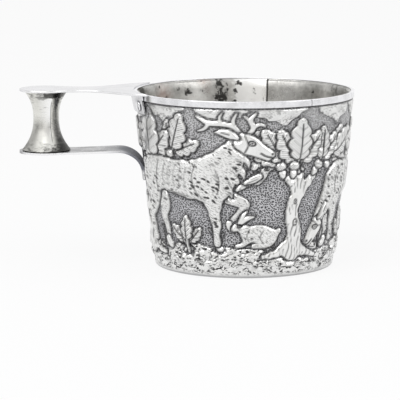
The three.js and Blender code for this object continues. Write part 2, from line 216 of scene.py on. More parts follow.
class Finish:
    """A silver finish being made: its material, its nodes and its shader."""

    def __init__(self, name):
        self.material = bpy.data.materials.new(name)
        self.material.use_nodes = True
        self.tree = self.material.node_tree
        self.shader = self.tree.nodes["Principled BSDF"]
        self.shader.inputs["Metallic"].default_value = 1
        self.shader.inputs["Roughness"].default_value = 0.2

    def node(self, kind, settings=None, **inputs):
        made = self.tree.nodes.new(kind)
        for key, value in (settings or {}).items():
            setattr(made, key, value)
        for key, value in inputs.items():
            self.feed(made, key.replace("_", " "), value)
        return made

    def feed(self, made, key, value):
        socket = made.inputs[int(key[1:])] if key[0] == "i" and key[1:].isdigit() else made.inputs[key]
        if isinstance(value, bpy.types.NodeSocket):
            self.tree.links.new(value, socket)
        else:
            socket.default_value = value

    def math(self, operation, a, b=0.0, c=0.0, clamp=False):
        made = self.node("ShaderNodeMath", {"operation": operation, "use_clamp": clamp},
                         i0=a, i1=b, i2=c)
        return made.outputs[0]

    def times(self, a, b):
        return self.math("MULTIPLY", a, b)

    def plus(self, a, b):
        return self.math("ADD", a, b)

    def most(self, a, b):
        return self.math("MAXIMUM", a, b)

    def apart(self, where):
        return self.node("ShaderNodeSeparateXYZ", Vector=where).outputs

    def ramp(self, value, low, high, to_low=0.0, to_high=1.0, smooth=False):
        settings = {"interpolation_type": "SMOOTHSTEP" if smooth else "LINEAR"}
        made = self.node("ShaderNodeMapRange", settings, Value=value, From_Min=low, From_Max=high,
                         To_Min=to_low, To_Max=to_high)
        return made.outputs["Result"]

    def mix(self, share, a, b):
        made = self.node("ShaderNodeMix", {"data_type": "RGBA"})
        for index, value in ((0, share), (6, a), (7, b)):
            if isinstance(value, bpy.types.NodeSocket):
                self.tree.links.new(value, made.inputs[index])
            else:
                made.inputs[index].default_value = value if index == 0 else (*value, 1)
        return made.outputs[2]

    def attribute(self, name):
        return self.node("ShaderNodeAttribute", {"attribute_name": name}).outputs["Fac"]

    def place(self, scale=(1, 1, 1), uv=None):
        """Pattern coordinates: the object's own, or its UV map's where one is named."""
        if uv:
            source = self.node("ShaderNodeUVMap", {"uv_map": uv}).outputs["UV"]
        else:
            source = self.node("ShaderNodeTexCoord").outputs["Object"]
        return self.node("ShaderNodeMapping", Vector=source, Scale=scale).outputs[0]

    def stretch(self, where, wide, tall, turn=0.0, shift=0.0):
        """Coordinates drawn out along turned axes, and the patterns on them with them."""
        made = self.node("ShaderNodeMapping", {"vector_type": "TEXTURE"}, Vector=where,
                         Location=(shift, shift, 0), Rotation=(0, 0, turn), Scale=(wide, tall, 1))
        return made.outputs[0]

    def warp(self, where, scale, amount):
        """Coordinates pushed about by up to about an amount, so that patterns on them wander."""
        push = self.node("ShaderNodeTexNoise", Vector=where, Scale=scale, Detail=2.0)
        middle = self.node("ShaderNodeVectorMath", {"operation": "SUBTRACT"}, i0=push.outputs["Color"],
                           i1=(0.5, 0.5, 0.5))
        made = self.node("ShaderNodeVectorMath", {"operation": "MULTIPLY_ADD"}, i0=middle.outputs[0],
                         i1=(2 * amount,) * 3, i2=where)
        return made.outputs[0]

    def spot(self, where, centre, reach, ragged=0.0):
        """One at a place, falling to nothing at a reach from it, with a ragged edge."""
        away = self.node("ShaderNodeVectorMath", {"operation": "DISTANCE"}, i0=where, i1=centre)
        gap = self.math("MULTIPLY_ADD", self.noise(where, 500, 4, 0.65), ragged, away.outputs["Value"])
        return self.ramp(gap, reach + ragged * 0.6, ragged * 0.5, smooth=True)

    def noise(self, where, scale, detail=3.0, roughness=0.55):
        made = self.node("ShaderNodeTexNoise", Vector=where, Scale=scale, Detail=detail,
                         Roughness=roughness)
        return made.outputs["Fac"]

    def cells(self, where, scale, dimensions="3D", randomness=1.0):
        return self.node("ShaderNodeTexVoronoi", {"voronoi_dimensions": dimensions}, Vector=where,
                         Scale=scale, Randomness=randomness)

    def bump(self, height, depth, before=None):
        made = self.node("ShaderNodeBump", Height=height, Distance=depth)
        made.inputs["Strength"].default_value = 1
        if before:
            self.tree.links.new(before, made.inputs["Normal"])
        return made.outputs["Normal"]

    def finish(self, colour, roughness, normal):
        self.feed(self.shader, "Base Color", colour)
        self.feed(self.shader, "Roughness", roughness)
        self.feed(self.shader, "Normal", normal)
        return self.material


def polished_silver(name, tone, shade=1.0, roughness=0.16, along=(1, 1, 1), stain=0.12, marks=(),
                    edge_reflection=False, painted_shade_end=None):
    """Handled silver: fine rubbing marks one way, faint stains and a slightly uneven surface.

    marks are darker patches of painted shade, some with dirt as well: each has its place, its reach
    and its strength. A bright edge is a painted reflection: the sheet's two long edges are painted
    brighter than its faces. A shaded end is painted shade, given by a place, a reach and a lowest
    height: there the sheet is painted dark bluish grey and made hardly metallic, so that it mirrors
    hardly anything, on a sheet that has light specks too.
    """
    finish = Finish(name)
    where = finish.place()
    rub_marks_and_highlight = finish.noise(finish.place(scale=along), 900, 4)
    cloud = finish.noise(where, 95, 4, 0.6)
    specks = finish.noise(where, 650, 2, 0.5)
    stain_and_shade = finish.most(finish.ramp(cloud, 0.45, 0.75, 0, stain), finish.ramp(specks, 0.68, 0.78, 0, 0.35))
    mottle = finish.ramp(finish.noise(where, 800, 3, 0.6), 0.35, 0.6, 0.5, 1)
    # Painted shade: each mark darkens the sheet where a nearby part shades it
    for place, reach, strength in marks:
        mark = finish.times(finish.spot(where, place, reach, 2 * MM), mottle)
        stain_and_shade = finish.most(stain_and_shade, finish.times(mark, strength))
    full = tuple(shade * channel for channel in tone)
    worn = tuple(shade * channel * 0.2 for channel in tone)
    colour = finish.mix(stain_and_shade, full, worn)
    # Painted reflection: edges that face sideways are painted near white
    if edge_reflection:
        facing = finish.node("ShaderNodeTexCoord").outputs["Normal"]
        across = finish.apart(facing)["Y"]
        edge = finish.ramp(finish.math("ABSOLUTE", across), 0.4, 0.75)
        colour = finish.mix(edge, colour, (0.93, 0.93, 0.94))
    rough = finish.ramp(finish.plus(cloud, finish.times(rub_marks_and_highlight, 0.5)),
                        0.4, 1.2, roughness * 0.7, roughness * 1.7)
    if painted_shade_end:
        place, reach, lowest = painted_shade_end
        height = finish.apart(where)["Z"]
        end_shade = finish.times(finish.ramp(finish.spot(where, place, reach, 2 * MM), 0, 0.4),
                            finish.ramp(height, lowest, lowest + 2 * MM))
        colour = finish.mix(finish.ramp(specks, 0.36, 0.3, 0, 0.7), colour, (0.86, 0.86, 0.88))
        # Painted shade: the end is painted dark bluish grey and made rougher and hardly metallic
        colour = finish.mix(end_shade, colour, (0.17, 0.175, 0.20))
        rough = finish.most(rough, finish.times(end_shade, 0.5))
        finish.feed(finish.shader, "Metallic", finish.ramp(end_shade, 0, 1, 1, 0.1))
        finish.feed(finish.shader, "Specular IOR Level", 0.2)
    normal = finish.bump(rub_marks_and_highlight, 0.006 * MM)
    normal = finish.bump(finish.noise(where, 160, 1), 0.05 * MM, normal)
    return finish.finish(colour, rough, normal)


def spool_silver(colours):
    """Turned silver with fine rings, tarnished at both ends, and a soldered seam down its side.

    A painted highlight runs beside the seam, and painted shade darkens the foot.
    """
    finish = Finish("spool silver")
    where = finish.place()
    apart = finish.apart(where)
    middle = (SPOOL_FOOT + SPOOL_TOP) / 2
    to_end = finish.math("ABSOLUTE", finish.math("SUBTRACT", apart["Z"], middle))
    rings = finish.noise(finish.place(scale=(0.12, 0.12, 1)), 1500, 3, 0.6)
    streaks = finish.noise(finish.place(scale=(0.4, 0.4, 1)), 420, 4, 0.65)
    cloud = finish.noise(where, 140, 4, 0.6)
    near_end = finish.ramp(to_end, 8.5 * MM, 13.6 * MM)
    around = finish.plus(apart["X"], SPOOL_AXIS)
    angle = finish.math("ARCTAN2", around, finish.times(apart["Y"], -1.0))
    # The end tarnish grows toward the cup's side
    toward_cup = finish.ramp(angle, -0.3, 0.9, 0.4, 1.25)
    near_end = finish.times(near_end, toward_cup)
    tarnish = finish.ramp(finish.plus(streaks, finish.times(near_end, 0.26)),
                          0.57, 0.69)
    tarnish = finish.times(tarnish, finish.ramp(near_end, 0, 0.5, 0.3, 0.97))
    clean = finish.mix(finish.ramp(cloud, 0.35, 0.7), shaded(colours.spool, 0.8), shaded(colours.spool))
    clean = finish.mix(finish.ramp(rings, 0.42, 0.3, 0, 0.35), clean,
                       shaded(colours.spool, 0.35))

    past = finish.math("SUBTRACT", angle, SPOOL_SEAM)
    # Painted highlight: a near-white strip just before the seam, for a reflection down the side
    rub_marks_and_highlight = finish.times(finish.ramp(past, -0.95, -0.15), finish.ramp(past, 0.02, 0))
    clean = finish.mix(finish.times(rub_marks_and_highlight, 0.9), clean, (0.97, 0.97, 0.96))
    # Painted shade: darker toward the foot, most on its left and in a streaked patch on the cup's side;
    # the foot is also rougher
    foot_shade = finish.ramp(apart["Z"], middle + 5 * MM, SPOOL_FOOT + 5 * MM, 0, 0.8, smooth=True)
    clean = finish.mix(foot_shade, clean, shaded(colours.spool, 0.7))
    foot_left_shade = finish.times(foot_shade, finish.ramp(angle, 0.05, -0.25))
    clean = finish.mix(foot_left_shade, clean, shaded(colours.spool, 0.42))
    foot_right_shade = finish.times(finish.ramp(angle, 0.5, 0.85),
                             finish.ramp(apart["Z"], middle + 9 * MM, SPOOL_FOOT + 5 * MM, 0, 0.95))
    foot_right_shade = finish.times(foot_right_shade, finish.ramp(streaks, 0.62, 0.42, 0.35, 1))
    clean = finish.mix(foot_right_shade, clean, shaded(colours.spool, 0.1))
    colour = finish.mix(tarnish, clean, shaded(colours.spool, 0.1))
    seam = finish.ramp(finish.math("ABSOLUTE", past), 0.035, 0.012)
    seam = finish.times(seam, finish.ramp(near_end, 0.35, 0.05))
    colour = finish.mix(finish.times(seam, 0.8), colour, (0.1, 0.1, 0.1))
    normal = finish.bump(rings, 0.01 * MM)
    normal = finish.bump(finish.noise(where, 130, 1), 0.12 * MM, normal)
    rough = finish.plus(finish.ramp(cloud, 0.3, 0.7, 0.14, 0.24),
                        finish.times(foot_shade, 0.35))
    return finish.finish(colour, rough, normal)


# Mesh helpers

def curve(points, steps):
    """Points of a Bezier curve of any degree, its first point left out."""
    found = []
    for i in range(1, steps + 1):
        share = i / steps
        level = [Vector(p) for p in points]
        while len(level) > 1:
            level = [a.lerp(b, share) for a, b in zip(level, level[1:])]
        found.append(level[0])
    return found


def rounded(corners, radius, steps=4):
    """A closed section with its corners rounded; radius is one number or one for each corner."""
    corners = [Vector(c) for c in corners]
    radii = [radius] * len(corners) if isinstance(radius, (int, float)) else radius
    found = []
    for i, corner in enumerate(corners):
        if not radii[i]:
            found.append(corner)
            continue
        before, after = corners[i - 1], corners[(i + 1) % len(corners)]
        start = corner + (before - corner).normalized() * radii[i]
        end = corner + (after - corner).normalized() * radii[i]
        found += [start, *curve([start, corner, end], steps)]
    return found


def turned(section, steps, start=0.0, angle=TURN, closed=True):
    """A bmesh of a section of (radius, height) points turned about the upright axis."""
    bm = bmesh.new()
    verts = [bm.verts.new((r * math.cos(start), r * math.sin(start), z)) for r, z in section]
    ends = verts[1:] + (verts[:1] if closed else [])
    edges = [bm.edges.new(pair) for pair in zip(verts, ends)]
    full = angle > TURN - 1e-9
    bmesh.ops.spin(bm, geom=verts + edges, cent=(0, 0, 0), axis=(0, 0, 1), dvec=(0, 0, 0),
                   angle=angle, steps=steps, use_merge=full, use_duplicate=False)
    bmesh.ops.remove_doubles(bm, verts=bm.verts, dist=1e-7)
    if not full:
        bmesh.ops.holes_fill(bm, edges=[e for e in bm.edges if e.is_boundary], sides=0)
    bmesh.ops.recalc_face_normals(bm, faces=bm.faces)
    return bm


def bevel(bm, edges):
    """Rounds the edges of a plate's sheet."""
    bmesh.ops.bevel(bm, geom=edges, offset=PLATE_EDGE, offset_type="OFFSET", segments=3,
                    profile=0.5, affect="EDGES", material=-1, clamp_overlap=True)


def add_object(bm, name):
    """Turns a bmesh into an object of the scene."""
    mesh = bpy.data.meshes.new(name)
    bm.to_mesh(mesh)
    bm.free()
    made = bpy.data.objects.new(name, mesh)
    bpy.context.scene.collection.objects.link(made)
    return made


def make_piece(bm, name, look, slot, *nodes, even=True):
    """Turns a bmesh into a piece of the cup that stands for the named nodes."""
    piece = add_object(bm, name)
    piece.data.shade_smooth()
    piece.data.materials.append(look)
    if even:
        piece.modifiers.new("even faces", "WEIGHTED_NORMAL")
    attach(piece, BODY)
    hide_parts(*nodes)
    return piece


def settle(piece):
    """Makes a piece's modifiers part of its mesh."""
    evaluated = piece.evaluated_get(bpy.context.evaluated_depsgraph_get())
    mesh = bpy.data.meshes.new_from_object(evaluated)
    piece.modifiers.clear()
    old = piece.data
    piece.data = mesh
    bpy.data.meshes.remove(old)


def vertex_places(mesh):
    """A mesh's vertices as an array of their places."""
    places = np.empty(3 * len(mesh.vertices))
    mesh.vertices.foreach_get("co", places)
    return places.reshape(-1, 3)


def store(mesh, name, values):
    """Keeps one number for each vertex under a name that a material can read."""
    mesh.attributes.new(name, "FLOAT", "POINT").data.foreach_set("value", values.astype(np.float32))


def dent(mesh, centre, depth, wave, seed):
    """Moves points in and out from an upright axis by slow waves, as hand raising leaves them."""
    places = vertex_places(mesh)
    away = places[:, :2] - np.array(centre)
    radius = np.maximum(np.hypot(*away.T), 1e-6)
    angle = np.arctan2(away[:, 1], away[:, 0])
    draw = np.random.default_rng(seed)
    shift = np.zeros(len(places))
    for turns in range(2, 8):
        phase = draw.uniform(0, TURN, 2)
        shift += np.sin(turns * angle + phase[0] + places[:, 2] / wave * draw.uniform(-1, 1)) / turns
    share = depth * shift / radius
    places[:, :2] += away * share[:, None]
    mesh.vertices.foreach_set("co", places.ravel())


# The frieze, in millimetres on the sheet laid out flat

FLAT_RADIUS = 48.0
FLAT_LENGTH = TURN * FLAT_RADIUS
HATCH_STEP = 0.56
STROKE_STEPS = 4
FRIEZE_MASKS = ("relief", "groove", "gloom", "coat", "leaf", "vein", "rock", "plain")


def wrapped(distance, length=FLAT_LENGTH):
    """A distance round the cup brought within half a turn of nothing, either way."""
    return (distance + length / 2) % length - length / 2


def smooth(low, high, value):
    share = np.clip((value - low) / (high - low), 0, 1)
    return share * share * (3 - 2 * share)


def ripple(places, size, seed):
    """Slow irregular waves about as long as size, mostly between -1 and 1."""
    draw = np.random.default_rng(seed)
    total = np.zeros(len(places))
    for _ in range(9):
        way = draw.normal(size=3)
        way *= TURN / size * draw.uniform(0.6, 1.4) / np.linalg.norm(way)
        total += np.sin(places @ way + draw.uniform(0, TURN))
    return total / 4


def line_through(points):
    """More points along a smooth line through the given (x, y, radius) points."""
    p = [np.array(q, float) for q in points]
    p = [2 * p[0] - p[1], *p, 2 * p[-1] - p[-2]]
    found = [p[1]]
    for a, b, c, d in zip(p, p[1:], p[2:], p[3:]):
        for i in range(1, STROKE_STEPS + 1):
            t = i / STROKE_STEPS
            found.append(0.5 * (2 * b + (c - a) * t + (2 * a - 5 * b + 4 * c - d) * t ** 2
                                + (3 * b - a - 3 * c + d) * t ** 3))
    return found


def to_stroke(x, y, points):
    """Distance from a tapering stroke: negative inside it."""
    best = np.full(len(x), 99.0)
    line = line_through(points)
    for a, b in zip(line, line[1:]):
        along = b[:2] - a[:2]
        length = max(along @ along, 1e-9)
        share = np.clip(((x - a[0]) * along[0] + (y - a[1]) * along[1]) / length, 0, 1)
        gap = np.hypot(x - a[0] - share * along[0], y - a[1] - share * along[1])
        best = np.minimum(best, gap - a[2] - share * (b[2] - a[2]))
    return best


def union(a, b, blend):
    """The nearer of two distances, rounded off where they meet."""
    if not blend:
        return np.minimum(a, b)
    share = np.maximum(blend - np.abs(a - b), 0) / blend
    return np.minimum(a, b) - share * share * blend / 4


def to_strokes(x, y, strokes, blend=1.2):
    """Distance from several strokes that flow into one another."""
    best = np.full(len(x), 99.0)
    for points in strokes:
        best = union(best, to_stroke(x, y, points), blend)
    return best


class Frieze:
    """The wall's relief: its height, and where its grooves, fur, leaves and rocks lie.

    along runs round the cup from its front, and up is the height above the base.
    """

    def __init__(self, along, up):
        self.along, self.up = along, up
        angle = along / FLAT_RADIUS
        self.places = np.stack([FLAT_RADIUS * np.sin(angle), FLAT_RADIUS * np.cos(angle), up], 1)
        for mask in ("height", *FRIEZE_MASKS):
            setattr(self, mask, np.zeros(len(along)))

    def near(self, at, foot, facing=1, reach=44.0, scale=1.0, lean=0.0):
        """The points near a place, and their own x and y there."""
        x = wrapped(self.along - at)
        y = self.up - foot
        found = np.flatnonzero((np.abs(x) < reach * scale) & (np.abs(y) < 80))
        x, y = facing * x[found] / scale, y[found] / scale
        turn = math.radians(lean)
        return found, (x * math.cos(turn) + y * math.sin(turn),
                       y * math.cos(turn) - x * math.sin(turn))

    def lay(self, found, gap, rise, edge=2.0, crown=7.0, moat=0.8, share=0.55):
        """Lays a form whose outline is at gap 0 over what is already there."""
        inside = np.maximum(-gap, 0)
        pillow = np.sqrt(np.clip(1 - (1 - np.minimum(inside / edge, 1)) ** 2, 0, 1))
        dome = np.sqrt(np.clip(inside / crown, 0, 1))
        top = rise * (share * pillow + (1 - share) * dome)
        under = self.height[found] * smooth(0, 2.2, gap)
        self.height[found] = np.where(gap < 0, top, under)
        outside = smooth(-0.3, 0.1, gap)
        for mask in (self.groove, self.gloom, self.coat, self.leaf, self.vein, self.rock):
            mask[found] *= outside
        line = moat * np.exp(-((gap - 0.2) / 0.42) ** 2)
        self.groove[found] = np.maximum(self.groove[found], line)
        gloom = np.exp(-np.maximum(gap, 0) / 1.5) * outside
        self.gloom[found] = np.maximum(self.gloom[found], gloom)

    def swell(self, found, gap, rise, soft=2.5):
        """Raises a muscle or a fold on a form."""
        form = self.height[found]
        self.height[found] = form + rise * smooth(0, soft, -gap) * smooth(0.2, 1.2, form)

    def cut(self, found, gap, depth=0.3, dark=0.7, width=0.35):
        """Cuts a chased line along gap 0."""
        line = np.exp(-(np.maximum(gap, 0) / width) ** 2)
        self.height[found] -= depth * line
        self.groove[found] = np.maximum(self.groove[found], dark * line)

    def fur(self, found, gap):
        self.coat[found] = np.maximum(self.coat[found], smooth(0.2, 1.0, -gap))


# A deer that faces +x, in strokes through (x, y, radius) points with its hooves at y = 0
DEER = [
    [(-19.5, 29.5, 6.6), (-13, 30, 6.7), (-5, 29.2, 6.9), (4, 28.6, 7.9), (12, 28.6, 8.4)],
    [(-21, 28, 6.4), (-20, 21.5, 5.4), (-21.2, 16, 3.4), (-23.6, 12.4, 2.1), (-22.4, 8, 1.45),
     (-21.8, 4.2, 1.4), (-21.4, 3, 1.6)],
    [(11, 24, 5), (12.2, 18, 3.2), (12.6, 12.6, 2.1), (13.2, 11, 2.05), (12.9, 7, 1.4),
     (13.2, 3.4, 1.6)],
    [(-26, 33.4, 1.5), (-28, 31, 1.7), (-28.6, 28, 1.1), (-28.4, 26.4, 0.5)],
]
FAR_LEGS = [
    [(15.5, 24, 3.8), (20, 21.6, 2.7), (24.6, 19.2, 2), (22.4, 15.6, 1.5), (19.4, 12.4, 1.35),
     (18.6, 11.2, 1.4)],
    [(-16.5, 24, 5), (-12.5, 18, 3.6), (-13.2, 12.8, 2.1), (-11.6, 8, 1.4), (-11.4, 3.2, 1.5)],
]
STANDING_LEGS = [
    [(15, 23, 3.6), (17.6, 17, 2.5), (18, 11.4, 2), (17.6, 7, 1.3), (18.4, 3.2, 1.5)],
    [(-16.5, 24, 5), (-14.6, 18, 3.6), (-16.6, 12.6, 2.1), (-15, 8, 1.4), (-15.2, 3.2, 1.5)],
]
HOOF = [(-0.4, 1.2, 1.4), (0.6, -0.6, 1.5), (1.5, -1.2, 1.2)]
MUSCLES = [
    [(7.4, 33, 3.2), (9.6, 27, 4), (11.4, 21.6, 2.8)],
    [(-17.5, 32, 3.6), (-19, 25.5, 4.2), (-20.6, 18.6, 2.6)],
    [(-6, 25.4, 2), (0, 24.2, 2.4), (4, 24.4, 2)],
]
FOLDS = [
    [(5.4, 35, 0), (3.8, 29, 0), (5.6, 23.6, 0), (9, 20.6, 0)],
    [(-12.8, 35, 0), (-14.6, 29, 0), (-15, 23.4, 0), (-13.4, 20.6, 0)],
    [(13.6, 33, 0), (15, 28.6, 0), (14, 23.4, 0)],
    [(-23.6, 24, 0), (-21.6, 20, 0), (-22.4, 16.6, 0)],
    [(-8.6, 23.6, 0), (-3, 22.6, 0), (2, 22, 0)],
]
RIBS = [[(x, 33.4, 0), (x - 1.3, 29, 0), (x - 0.6, 25.4, 0)] for x in (-9.4, -6.6, -3.8, -1, 1.6)]
FORWARD_HEAD = {
    "neck": [(12, 30.5, 8), (17, 36, 6.2), (21, 41, 4.6), (23.4, 44, 3.6)],
    "ruff": [[(16.5, 29, 2.4), (18.6, 25.4, 1.4), (19.4, 22.4, 0.4)],
             [(19, 32, 2.2), (21.4, 28.8, 1.3), (22, 26, 0.4)],
             [(21.6, 35.4, 2), (23.8, 32.4, 1.2), (24.4, 29.8, 0.4)],
             [(23.8, 39, 1.6), (25.6, 36.4, 1), (26.2, 34, 0.4)]],
    "head": [[(23.8, 44.4, 3.5), (27, 43.8, 3), (30.6, 41.6, 2.1), (34.4, 39.4, 1.6)],
             [(25.4, 41.4, 2), (29.4, 39.8, 1.5), (33.2, 38, 1.1)]],
    "ear": [(21.8, 46, 0.8), (19, 47.4, 1.7), (16.2, 48.2, 1.3), (13.6, 48.2, 0.3)],
    "eye": (27.2, 44), "nose": (34.8, 39.6), "mouth": [(35.4, 38, 0), (32.4, 38.8, 0), (30.4, 40, 0)],
    "cheek": [(24.6, 47, 0), (25.8, 43.4, 0), (24.6, 40.4, 0)],
}
LOWERED_HEAD = {
    "neck": [(12.5, 27.5, 7.4), (18, 22, 5), (22, 16, 3.7), (24.4, 11.8, 3)],
    "ruff": [],
    "head": [[(24.6, 10.8, 3), (27, 7.6, 2.5), (29.8, 3.6, 1.6)],
             [(23.8, 8.6, 1.6), (26.6, 4.8, 1.3), (28.8, 2.4, 1)]],
    "ear": [(23.6, 13.2, 0.8), (21.4, 15.6, 1.6), (20.2, 18, 1.2), (19.6, 20, 0.3)],
    "eye": (26.4, 9.6), "nose": (30.6, 3.6), "mouth": [(30, 2, 0), (27.8, 4.2, 0)],
    "cheek": [(27, 12, 0), (24.8, 10, 0), (22.8, 9.8, 0)],
}
ANTLERS = [
    [(25.6, 47, 1), (27.6, 50, 1), (26.6, 53, 0.9), (28.4, 55.6, 0.5)],
    [(27.5, 50.2, 0.8), (30, 51.4, 0.7), (32, 50.6, 0.4)], [(26.8, 52.4, 0.7), (24.4, 54.6, 0.4)],
    [(23.2, 47, 1.2), (20, 50.4, 1.15), (15.4, 51.6, 1.1), (11, 51.8, 1), (6.8, 54.2, 0.6)],
    [(20.6, 50, 0.95), (20.4, 53, 0.7), (21.6, 55.6, 0.4)],
    [(16, 51.4, 0.9), (15.4, 53.8, 0.6), (16.4, 55.8, 0.35)],
    [(11.6, 51.8, 0.85), (9.6, 49.4, 0.7), (7, 48.4, 0.35)],
]
HARE = [
    [(-7, 5.6, 4.6), (-2, 7.2, 4.8), (4, 7, 3.8)], [(5, 8.6, 2.9), (8.4, 11, 2.5), (11.2, 10, 1.6)],
    [(-10.8, 7.4, 1.7), (-12.2, 8.6, 1.3)], [(-6, 3, 3), (-3, 1.4, 1.5), (1.4, 1, 1)],
    [(4.5, 4, 2), (7, 1.6, 1.2), (10, 1, 0.9)],
]
HARE_EARS = [[(7.6, 12.8, 0.9), (4.6, 15.2, 1.3), (1, 16, 0.4)],
             [(8.6, 13, 0.9), (6.8, 16.4, 1.1), (4.4, 19, 0.4)]]
HARE_FOLDS = [[(-3.4, 8.6, 0), (-2, 5.4, 0), (-4, 2.4, 0)], [(3.4, 9.6, 0), (4.6, 6.4, 0), (3.8, 4, 0)]]
BIRD = [
    [(-3.5, 0, 1.9), (0, 0.5, 3), (3.5, 1.6, 2.1)], [(4.8, 3.2, 1.9), (6, 3.7, 1.4)],
    [(7, 3.6, 0.6), (8.8, 3.1, 0.3)], [(-4.5, -0.2, 1.5), (-8, -1.4, 1.4), (-10.4, -2.2, 1)],
]
WING = [[(1.5, 1.4, 1.6), (-2, 0.6, 1.7), (-6, 0, 0.8)]]
WING_FOLDS = [[(0.6, 0.6, 0), (-4.8, -0.2, 0)], [(0.4, 2, 0), (-4, 1.2, 0)]]


def add_eye(frieze, found, x, y, size):
    """An almond-shaped eye: a lid line round a ball with a dark pupil."""
    lid = np.hypot(x / 1.35, y + 0.12 * x) - size
    frieze.cut(found, np.abs(lid), 0.25, 1, 0.34)
    frieze.cut(found, np.hypot(x, y), 0.1, 1, 0.5 * size)


def add_deer(frieze, at, foot, facing, head, far_legs, antlers=False, rise=2.3, scale=1.2):
    """A deer: its far legs, antlers and hooves, then its body over them, then its head."""
    found, (x, y) = frieze.near(at, foot, facing, 46, scale)
    gap = to_strokes(x, y, far_legs) * scale
    frieze.lay(found, gap, rise * 0.6, edge=1.5, crown=4)
    frieze.fur(found, gap)
    if antlers:
        frieze.lay(found, to_strokes(x, y, ANTLERS, 0.4) * scale, rise * 0.8, edge=1.0, crown=3)
    for leg in (*far_legs, DEER[1], DEER[2]):
        hx, hy, _ = leg[-1]
        hoof = to_stroke(x - hx, y - hy + 1, HOOF) * scale
        frieze.lay(found, hoof, rise * 0.6, edge=1.0, crown=3, moat=0.6)
    ragged = 0.35 * ripple(frieze.places[found], 3.5, 5)
    body = union(to_strokes(x, y, DEER, 2.2), to_stroke(x, y, head["neck"]), 4)
    body = union(body, to_strokes(x, y, head["ruff"], 0.3), 0.6) * scale + ragged * (y > 14)
    frieze.lay(found, body, rise, edge=2.2)
    frieze.fur(found, body)
    for muscle in MUSCLES:
        frieze.swell(found, to_stroke(x, y, muscle) * scale, 0.3, 3)
    for fold in FOLDS:
        frieze.cut(found, to_stroke(x, y, fold) * scale, 0.22, 0.62, 0.36)
    for rib in RIBS:
        frieze.cut(found, to_stroke(x, y, rib) * scale, 0.12, 0.28, 0.6)
    for tuft in head["ruff"]:
        lock = [(px + 0.9, py + 1, 0) for px, py, _ in tuft]
        frieze.cut(found, to_stroke(x, y, lock) * scale, 0.2, 0.6, 0.32)
    skull = to_strokes(x, y, head["head"], 1.5) * scale
    frieze.lay(found, skull, rise, moat=0.6, crown=3.6, edge=1.6)
    frieze.cut(found, to_stroke(x, y, head["cheek"]) * scale, 0.15, 0.7, 0.42)
    frieze.lay(found, to_stroke(x, y, head["ear"]) * scale, rise * 1.05, 1.0, 3, 0.8)
    inner = [(px, py, 0) for px, py, _ in head["ear"][1:3]]
    frieze.cut(found, to_stroke(x, y, inner) * scale, 0.4, 0.7, 0.4)
    add_eye(frieze, found, (x - head["eye"][0]) * scale, (y - head["eye"][1]) * scale, 1.1)
    nose = np.hypot(x - head["nose"][0], y - head["nose"][1]) * scale
    frieze.cut(found, nose, 0.35, 1, 0.6)
    frieze.cut(found, to_stroke(x, y, head["mouth"]) * scale, 0.25, 1, 0.42)


def add_small_beast(frieze, at, foot, facing, strokes, over, folds, rise=1.7, scale=1.0, lean=0.0):
    """A hare or a bird: its body, then its ears or its wing, then an eye on its second stroke."""
    found, (x, y) = frieze.near(at, foot, facing, 20, scale, lean)
    gap = to_strokes(x, y, strokes, 1.2) * scale
    frieze.lay(found, gap, rise)
    frieze.fur(found, gap)
    frieze.lay(found, to_strokes(x, y, over, 0.3) * scale, rise, edge=1.0, crown=3, moat=0.8)
    for fold in folds:
        frieze.cut(found, to_stroke(x, y, fold) * scale, 0.2, 0.6, 0.32)
    ex, ey, _ = strokes[1][1]
    add_eye(frieze, found, (x - ex) * scale, (y - ey - 0.3) * scale, 0.7)


def add_leaf(frieze, at, up, turn, length, width, bend):
    """An oak leaf, with round lobes, a midrib, side veins and fine hatching."""
    found, (x, y) = frieze.near(at, up, 1, length * 1.3, 1.0, turn)
    y = y + bend * length * (x / length) ** 2
    share = np.clip(x / length, 0, 1)
    body = np.sin(math.pi * share ** 0.74) ** 0.55
    lobe = np.abs(np.sin(math.pi * 3.4 * share + 0.3 + 0.5 * (y > 0))) ** 0.7
    half = 0.5 * width * body * (0.66 + 0.34 * lobe)
    gap = np.maximum((np.abs(y) - half) * 0.8, np.maximum(-x, x - length))
    stalk = to_stroke(x, y, [(-6, -0.8, 0.8), (-2, 0, 0.65), (2, 0, 0.5)])
    frieze.lay(found, np.minimum(gap, stalk), 1.7, edge=1.6, crown=5, moat=0.95, share=0.65)
    slant = x - 0.8 * np.abs(y)
    frieze.leaf[found] = np.where(gap < 0, smooth(0.2, 0.8, -gap), frieze.leaf[found])
    frieze.vein[found] = np.where(gap < 0, slant, frieze.vein[found])
    rib = np.abs(y) + 9 * (x > length * 0.86) + 9 * (x < 0)
    frieze.cut(found, np.where(gap < 0.2, rib, 9), 0.35, 0.95, 0.36)
    side = np.abs(slant % (length / 5) - length / 10)
    side = np.where((gap < -0.8) & (np.abs(y) > 0.4), side, 9)
    frieze.cut(found, side, 0.16, 0.55, 0.28)


def add_spray(frieze, at, up, turn, count, spread, length, seed):
    """Leaves fanned out from a twig's end, the middle one on top."""
    draw = np.random.default_rng(seed)
    order = sorted(range(count), key=lambda i: -abs(i - (count - 1) / 2))
    for i in order:
        share = i / max(count - 1, 1) - 0.5
        angle = turn + spread * share + draw.uniform(-5, 5)
        long = length * (1 - 0.4 * abs(share)) * draw.uniform(0.94, 1.06)
        out = math.radians(angle)
        add_leaf(frieze, at + 3 * math.cos(out), up + 3 * math.sin(out), angle, long, long * 0.64,
                 draw.uniform(-0.14, 0.14))


